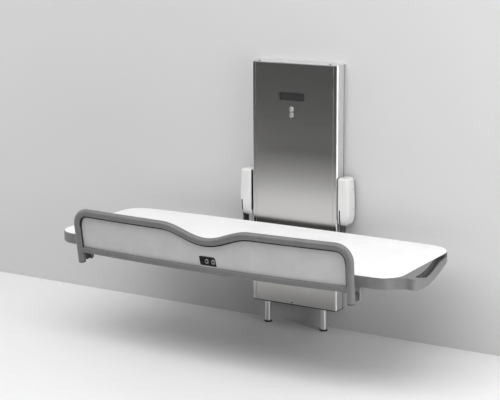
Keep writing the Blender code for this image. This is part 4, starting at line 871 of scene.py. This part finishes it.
def makeCover(side, sign):
    low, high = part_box(f"{side}_cover")
    shell = addBlock(f"{side}Cover", low, high)
    farX = high.x if sign > 0 else low.x
    middleX = (low.x + high.x) / 2
    bevelEdges(shell, cover["edge"], 8,
               lambda a, b: near(a.y, low.y) and near(b.y, low.y) and near(a.x, b.x) and abs(a.z - b.z) > 0.1)
    bevelEdges(shell, cover["topBevel"], 7,
               lambda a, b: near(a.z, high.z) and near(b.z, high.z) and not (near(a.y, high.y) and near(b.y, high.y)))
    tuckSteps, taperSteps = cover["tuckSteps"], cover["taperSteps"]
    levels = [low.z + cover["tuckHeight"] * step / tuckSteps for step in range(1, tuckSteps + 1)]
    taperStart = low.z + cover["taperFrom"] * (high.z - low.z)
    taper = high.z - cover["topRound"] - taperStart
    levels += [taperStart + taper * step / taperSteps for step in range(taperSteps + 1)]
    sliceAt(shell, 2, levels)

    # the sides pull in towards the bottom in a quarter round, and a little towards the top
    for vert in shell.data.vertices:
        tuck = max(0.0, 1 - (vert.co.z - low.z) / cover["tuckHeight"])
        tuck = 1 - math.sqrt(1 - min(tuck, 1.0) ** 2)
        rise = max(0.0, (vert.co.z - taperStart) / (high.z - taperStart))
        if sign * (vert.co.x - middleX) > 0:
            vert.co.x -= sign * (cover["tuckSide"] * tuck + cover["taperSide"] * rise ** 2)
        if vert.co.y < (low.y + high.y) / 2:
            vert.co.y += cover["tuckFront"] * tuck
    pick(shell, "FACE", lambda spot, normal: near(spot.y, high.y, 1e-4) and normal.y > 0.9 or near(spot.z, low.z, 1e-4))
    bpy.ops.mesh.delete(type="FACE")
    switchMode("OBJECT")
    wall = shell.modifiers.new("wall", "SOLIDIFY")
    wall.thickness = cover["wall"]
    wall.offset = -1
    wall.use_even_offset = True
    shell.data.materials.append(whiteAbs)
    shell.data.materials.append(blackPlastic)   # painted shade: the inside is black, so the slot looks dark
    wall.material_offset = 1
    applyModifiers(shell)
    middle = low.x + cover["slotFromLeft"]
    half = cover["slotWidth"] / 2
    slotCutter = addBlock("slotCutter", (middle - half, low.y - 0.01, low.z - 0.01),
                          (middle + half, high.y - 0.004, low.z + cover["slotHeight"]))
    bevelEdges(slotCutter, half * 0.98, 4, lambda a, b: runsDeep(a, b) and a.z > low.z + cover["slotHeight"] - 1e-4)
    carve(shell, slotCutter)
    standFor(shell, f"{side}_cover", angle=50)
    nearX = low.x if sign > 0 else high.x
    # painted shadow: a black strip in the groove between cover and column stands for the shadow the cover casts
    inner = [sign * (column["half"] + cover["shadowStripGap"]), nearX - sign * cover["shadowStripTouch"]]
    strip = addBlock(f"{side}CoverShadowStrip", (min(inner), cover["shadowStripFront"], low.z + cover["shadowStripLow"]),
                     (max(inner), cover["shadowStripBack"], high.z - cover["shadowStripTop"]))
    bevelEdges(strip, cover["shadowStripRound"], 5,
               lambda a, b: near(a.y, b.y) and near(a.z, b.z) and a.y < cover["shadowStripFront"] + 1e-4)
    roundEdges(strip, cover["shadowStripEdge"], 2, 60)
    finishPiece(strip, "carriage", "black_plastic", blackRubber)
    for number, share in enumerate(cover["screwLevels"], 1):
        level = high.z - share * (high.z - low.z)
        wide = cover["taperSide"] * max(0.0, (level - taperStart) / (high.z - taperStart)) ** 2
        radius = cover["screw"]
        head = turnRings(f"{side}CoverScrew{number}", [
            (radius, -0.001), (radius, 0.0003), (radius - 0.0004, 0.0007),
            (radius * 0.45, 0.0008), (radius * 0.4, 0.0002),
        ], (farX - sign * (wide + 0.0004), high.y - cover["screwIn"], level), (sign, 0, 0), 24)
        finishPiece(head, "carriage", "machined_steel")


for side, sign in bothSides.items():
    makeCover(side, sign)
    bracket = dressNode(f"{side}_hinge_bracket", f"{side}HingeBracket", 0.0006)
    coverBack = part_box(f"{side}_cover")[1].y - 0.0001
    twoTone(bracket, paintedShadeCoat, zinc, lambda face: face.center.y > coverBack)   # painted shade: charcoal where it sits under the cover, its base plate beside the cover in zinc
print("covers done")

# column
panelLow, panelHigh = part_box("front_panel")


# extruded side: front face beside the panel, round corner, flat side and a return at the wall slot
def makeProfile(side, sign):
    low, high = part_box(f"{side}_side_profile")
    half, corner, wall = column["half"], column["corner"], column["wall"]
    seam, front, back = column["panelHalf"] + column["groove"], -column["depth"], -column["wallSlot"]
    middle = (half - corner, front + corner)
    line = [(seam, front)] + arcPoints(middle, corner, -90, 0, 12) + [(half, back)]
    inside = half - column["returnWidth"]
    line += [(inside, back), (inside, back - wall), (half - wall, back - wall)]
    line += arcPoints(middle, corner - wall, 0, -90, 12) + [(seam, front + wall)]
    piece = slab(f"{side}SideProfile", [(sign * x, y) for x, y in line], low.z, high.z, 0)
    twoTone(piece, aluminium, stainless, lambda face: face.normal.y < -0.9)   # the front strip is faced like the panel
    standFor(piece, f"{side}_side_profile")


for side, sign in bothSides.items():
    makeProfile(side, sign)
panel = addBlock("frontPanel", (-column["panelHalf"], panelLow.y, panelLow.z),
                 (column["panelHalf"], panelHigh.y, panelHigh.z))
bevelEdges(panel, column["panelEdge"], 3, lambda a, b: near(a.y, panelLow.y) and near(b.y, panelLow.y))
standFor(panel, "front_panel")
# the bottom cap is in painted shade
for node, name, edge, look in (
    ("top_cap", "topCap", 0.0007, None), ("bottom_cap", "bottomCap", 0.0007, paintedShadeCoat),
    ("wall_plate", "wallPlate", 0.0005, None), ("carriage_plate", "carriagePlate", 0.0006, None),
):
    dressNode(node, name, edge, look=look)
trim = {
    "screw": 0.0034, "screwX": -0.010, "screwUp": 0.007,
    "clipX": 0.181, "clipWidth": 0.004, "clipFront": 0.0006, "clipBack": 0.012, "clipUp": 0.001, "clipEdge": 0.0008,
}
screw = turnRings("panelScrew", [
    (trim["screw"], -0.0005), (trim["screw"], 0.0004), (trim["screw"] - 0.0006, 0.0009),
    (trim["screw"] * 0.5, 0.001), (trim["screw"] * 0.45, 0.0003),
], (trim["screwX"], panelLow.y, panelLow.z + trim["screwUp"]), (0, -1, 0), 24)
finishPiece(screw, "column", "machined_steel", blackPlastic)
capLow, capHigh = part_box("top_cap")
for side, sign in bothSides.items():
    middle, half = sign * trim["clipX"], trim["clipWidth"] / 2
    clip = addBlock(f"{side}CapClip", (middle - half, capLow.y + trim["clipFront"], capLow.z + trim["clipUp"]),
                    (middle + half, capLow.y + trim["clipBack"], capHigh.z))
    roundEdges(clip, trim["clipEdge"], 2, 60)
    finishPiece(clip, "column", "black_plastic")

barePlate = {
    "left": -0.073, "right": 0.052, "low": 1.050, "high": 1.085,   # heights from the floor
    "thick": 0.0016, "frame": 0.0022, "corner": 0.0035, "gap": 0.0001,
}


# a raised frame round a slightly sunk dark field
def makeBarePlate():
    thick = barePlate["thick"]
    low = (barePlate["left"], panelLow.y - thick, barePlate["low"] + floorHeight)
    high = (barePlate["right"], panelLow.y - barePlate["gap"], barePlate["high"] + floorHeight)
    plate = addBlock("barePlate", low, high)
    bevelEdges(plate, barePlate["corner"], 4, runsDeep)
    pick(plate, "FACE", lambda spot, normal: normal.y < -0.9)
    bpy.ops.mesh.inset(thickness=barePlate["frame"], depth=0)
    bpy.ops.mesh.extrude_region_move(TRANSFORM_OT_translate={"value": (0, thick * 0.5, 0)})
    switchMode("OBJECT")
    fieldFrom = panelLow.y - thick * 0.8
    twoTone(plate, blackRubber, blackPlastic, lambda face: face.normal.y < -0.9 and face.center.y > fieldFrom)
    finishPiece(plate, "column", "black_plastic")


makeBarePlate()

button = {"ring": 0.0105, "barrel": 0.0079, "bore": 0.0068, "cap": 0.0062}


def makeColumnButton(word):
    low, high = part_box(f"{word}_button_bezel")
    spot = Vector(((low.x + high.x) / 2, panelLow.y, (low.z + high.z) / 2))
    out = (0, -1, 0)
    ring = button["ring"]
    proud = panelLow.y - low.y
    back, bore = panelLow.y - high.y, button["bore"]
    bezel = turnRings(f"{word}ButtonRing", [
        (bore, back), (button["barrel"], back), (button["barrel"], 0.0001), (ring - 0.0004, 0.0001),
        (ring, 0.0006), (ring - 0.0005, proud * 0.72), (ring - 0.0016, proud),
        (bore + 0.0006, proud), (bore, proud * 0.8), (bore, back),
    ], spot, out, hollow=True)
    standFor(bezel, f"{word}_button_bezel", chrome)
    low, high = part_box(f"{word}_column_button")
    face = panelLow.y - low.y
    cap = button["cap"]
    knob = turnRings(f"{word}ColumnButton", [
        (cap, panelLow.y - high.y), (cap, face - 0.0008), (cap - 0.0005, face - 0.0002), (cap - 0.0013, face),
        (cap - 0.0022, face - 0.0001), (cap * 0.3, face - 0.0007), (cap * 0.1, face - 0.0008),
    ], spot, out)
    standFor(knob, f"{word}_column_button", stainless)


for word in ("upper", "lower"):
    makeColumnButton(word)


def makeLeg(side):
    low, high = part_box(f"{side}_leg_tube")
    radius = (high.x - low.x) / 2
    spot = ((low.x + high.x) / 2, (low.y + high.y) / 2, 0)
    tube = turnRings(f"{side}Leg", [
        (radius - 0.001, low.z), (radius, low.z + 0.001), (radius, low.z + 0.03), (radius, low.z + 0.06),
        (radius, high.z - 0.001), (radius - 0.001, high.z),
    ], spot, (0, 0, 1))
    standFor(tube, f"{side}_leg_tube", aluminium)
    low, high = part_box(f"{side}_foot_cap")
    wide = (high.x - low.x) / 2
    bore = radius + 0.0004
    cap = turnRings(f"{side}FootCap", [
        (wide - 0.0012, low.z), (wide, low.z + 0.001), (wide, high.z - 0.0035), (wide - 0.0012, high.z - 0.0014),
        (bore + 0.0012, high.z), (bore, high.z - 0.0004), (bore, low.z + 0.0032),
    ], spot, (0, 0, 1))
    standFor(cap, f"{side}_foot_cap", blackRubber)


for side in bothSides:
    makeLeg(side)
print("column done")

# bench control
control = {"corner": 0.006, "edge": 0.0012, "ring": 0.0099, "bore": 0.0079, "collar": 0.0015, "dish": 0.55}


def makeControl():
    low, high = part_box("control_panel")
    collar = control["collar"]
    face = low.y + collar
    panel = addBlock("controlPanel", (low.x, face, low.z), high)
    bevelEdges(panel, control["corner"], 6, runsDeep)
    bevelEdges(panel, control["edge"], 3, lambda a, b: near(a.y, face) and near(b.y, face))
    rings = []
    for word in ("raise", "lower"):
        buttonLow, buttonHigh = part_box(f"{word}_button")
        spot = Vector(((buttonLow.x + buttonHigh.x) / 2, face, (buttonLow.z + buttonHigh.z) / 2))
        hole = turnRings("boreCutter", [(control["bore"], -0.02), (control["bore"], 0.01)], spot, (0, -1, 0))
        carve(panel, hole)
        wide, bore = control["ring"], control["bore"]
        ring = turnRings(f"{word}Ring", [
            (bore, -0.001), (wide, -0.001), (wide, collar * 0.7), (wide - 0.0006, collar),
            (bore + 0.0004, collar), (bore, collar * 0.7), (bore, -0.001),
        ], spot, (0, -1, 0), hollow=True)
        rings.append(ring)
        top = face - buttonLow.y
        cap = (buttonHigh.x - buttonLow.x) / 2
        knob = turnRings(f"{word}Button", [
            (cap, face - buttonHigh.y), (cap, top - 0.0005), (cap - 0.0006, top), (cap * 0.56, top - 0.0001),
            (cap * 0.52, top - 0.0009), (cap * 0.1, top - 0.0011),
        ], spot, (0, -1, 0))
        dish = cap * control["dish"]
        twoTone(knob, aluminium, blackPlastic,
                lambda poly: (poly.center - spot).xz.length < dish and poly.center.y < face)
        standFor(knob, f"{word}_button")
    standFor(panel, "control_panel")
    for ring in rings:
        finishPiece(ring, "bench", "bright_steel", aluminium)


makeControl()
print("bench control done")

# stage and light
stage = {
    "floorHex": "#f0f0f0", "wallHex": "#d2d2d2",
    "floorLow": (-6, -3.15), "floorHigh": (6, 3.0),
    "wallHalf": 6.0, "wallHeight": 5.0, "wallGap": 0.002,
    "openingEdge": 0.003,   # the wall is open behind the plate, so light reaches the back
    "flagAt": -3.17, "flagHalf": 5.0, "flagHeight": 2.6, "flagHex": "#0c0c0c",
}


def addPlane(name, middle, width, height, tilt=0):
    clearSelection()
    bpy.ops.mesh.primitive_plane_add(size=1, location=middle, rotation=(math.radians(tilt), 0, 0))
    plane = bpy.context.object
    plane.name = name
    plane.scale = (width, height, 1)
    settle()
    return plane


def makeStage():
    low, high = stage["floorLow"], stage["floorHigh"]
    floor = addPlane("floor", ((low[0] + high[0]) / 2, (low[1] + high[1]) / 2, floorHeight),
                     high[0] - low[0], high[1] - low[1])
    floor.data.materials.append(startMaterial("paleFloor", stage["floorHex"], 0.45)[0])

    wall = addPlane("backdrop", (0, stage["wallGap"], floorHeight + stage["wallHeight"] / 2),
                    2 * stage["wallHalf"], stage["wallHeight"], 90)
    low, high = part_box("wall_plate")
    edge = stage["openingEdge"]
    sliceAt(wall, 0, (low.x + edge, high.x - edge))
    sliceAt(wall, 2, (low.z + edge, high.z - edge))
    pick(wall, "FACE", lambda spot, normal: low.x < spot.x < high.x and low.z < spot.z < high.z)
    bpy.ops.mesh.delete(type="FACE")
    clearSelection()
    material, tree, shader = startMaterial("paleWall", stage["wallHex"], 0.8)
    facing = addNode(tree, "ShaderNodeNewGeometry")
    clear = addNode(tree, "ShaderNodeBsdfTransparent")
    mix = addNode(tree, "ShaderNodeMixShader",
                  links={0: facing.outputs["Backfacing"], 1: shader.outputs[0], 2: clear.outputs[0]})
    tree.links.new(mix.outputs[0], tree.nodes["Material Output"].inputs["Surface"])
    wall.data.materials.append(material)

    # a dark card that the camera doesn't see and glossy finishes mirror
    flag = addPlane("darkFlag", (0, stage["flagAt"], floorHeight + stage["flagHeight"] / 2),
                    2 * stage["flagHalf"], stage["flagHeight"], 90)
    flag.visible_camera = flag.visible_diffuse = flag.visible_shadow = False
    flag.data.materials.append(startMaterial("blackFelt", stage["flagHex"], 1.0)[0])


makeStage()

lights = {
    "key": {"spot": (-0.1, -1.7, 2.1), "aim": (-0.2, -1.1, -0.6), "size": (5.2, 1.8), "energy": 68},
    "front": {"spot": (0.5, -3.4, 2.4), "aim": (-0.1, -0.6, -0.3), "size": (4.2, 1.2), "energy": 8},
    "side": {"spot": (3.1, -1.2, 0.45), "aim": (0.2, -0.2, -0.4), "size": (1.2, 1.5), "energy": 34},
    "left": {"spot": (-3.2, -1.4, 1.0), "aim": (-1.8, 0.0, 0.2), "size": (1.2, 1.6), "energy": 15},
}
for name, lamp in lights.items():
    clearSelection()
    bpy.ops.object.light_add(type="AREA", location=lamp["spot"])
    holder = bpy.context.object
    holder.name = name
    holder.data.shape = "RECTANGLE"
    holder.data.size, holder.data.size_y = lamp["size"]
    holder.data.energy = lamp["energy"]
    holder.rotation_euler = (Vector(lamp["aim"]) - Vector(lamp["spot"])).to_track_quat("-Z", "Y").to_euler()

world = bpy.data.worlds.new("studio")
bpy.context.scene.world = world
world.use_nodes = True
tree = world.node_tree
place = addNode(tree, "ShaderNodeTexCoord")
split = addNode(tree, "ShaderNodeSeparateXYZ", links={0: place.outputs["Generated"]})
sky = addNode(tree, "ShaderNodeMapRange", {"From Min": 0.15, "From Max": 0.70, "To Min": 0.01, "To Max": 0.46},
              {"Value": split.outputs["Z"]})
rear = addNode(tree, "ShaderNodeMapRange", {"From Min": 0.1, "From Max": 0.6, "To Min": 0.0, "To Max": 0.55},
               {"Value": split.outputs["Y"]})   # light behind the wall, for views of the back
glow = addNode(tree, "ShaderNodeMath", {"operation": "MAXIMUM"}, {0: sky.outputs["Result"], 1: rear.outputs["Result"]})
tree.links.new(glow.outputs[0], tree.nodes["Background"].inputs["Strength"])
tree.nodes["Background"].inputs["Color"].default_value = (1, 1, 1, 1)
plain = addNode(tree, "ShaderNodeBackground", {"Color": linear(stage["wallHex"]), "Strength": 1.0})
ray = addNode(tree, "ShaderNodeLightPath")
mirrored = addNode(tree, "ShaderNodeMath", {"operation": "MAXIMUM"},
                   {0: ray.outputs["Is Glossy Ray"], 1: ray.outputs["Is Transmission Ray"]})
shown = addNode(tree, "ShaderNodeMath", {"operation": "MAXIMUM"},
                {0: ray.outputs["Is Camera Ray"], 1: mirrored.outputs[0]})
seen = addNode(tree, "ShaderNodeMixShader", links={0: shown.outputs[0],
                                                   1: tree.nodes["Background"].outputs[0], 2: plain.outputs[0]})
tree.links.new(seen.outputs[0], tree.nodes["World Output"].inputs["Surface"])
print("stage and light done")
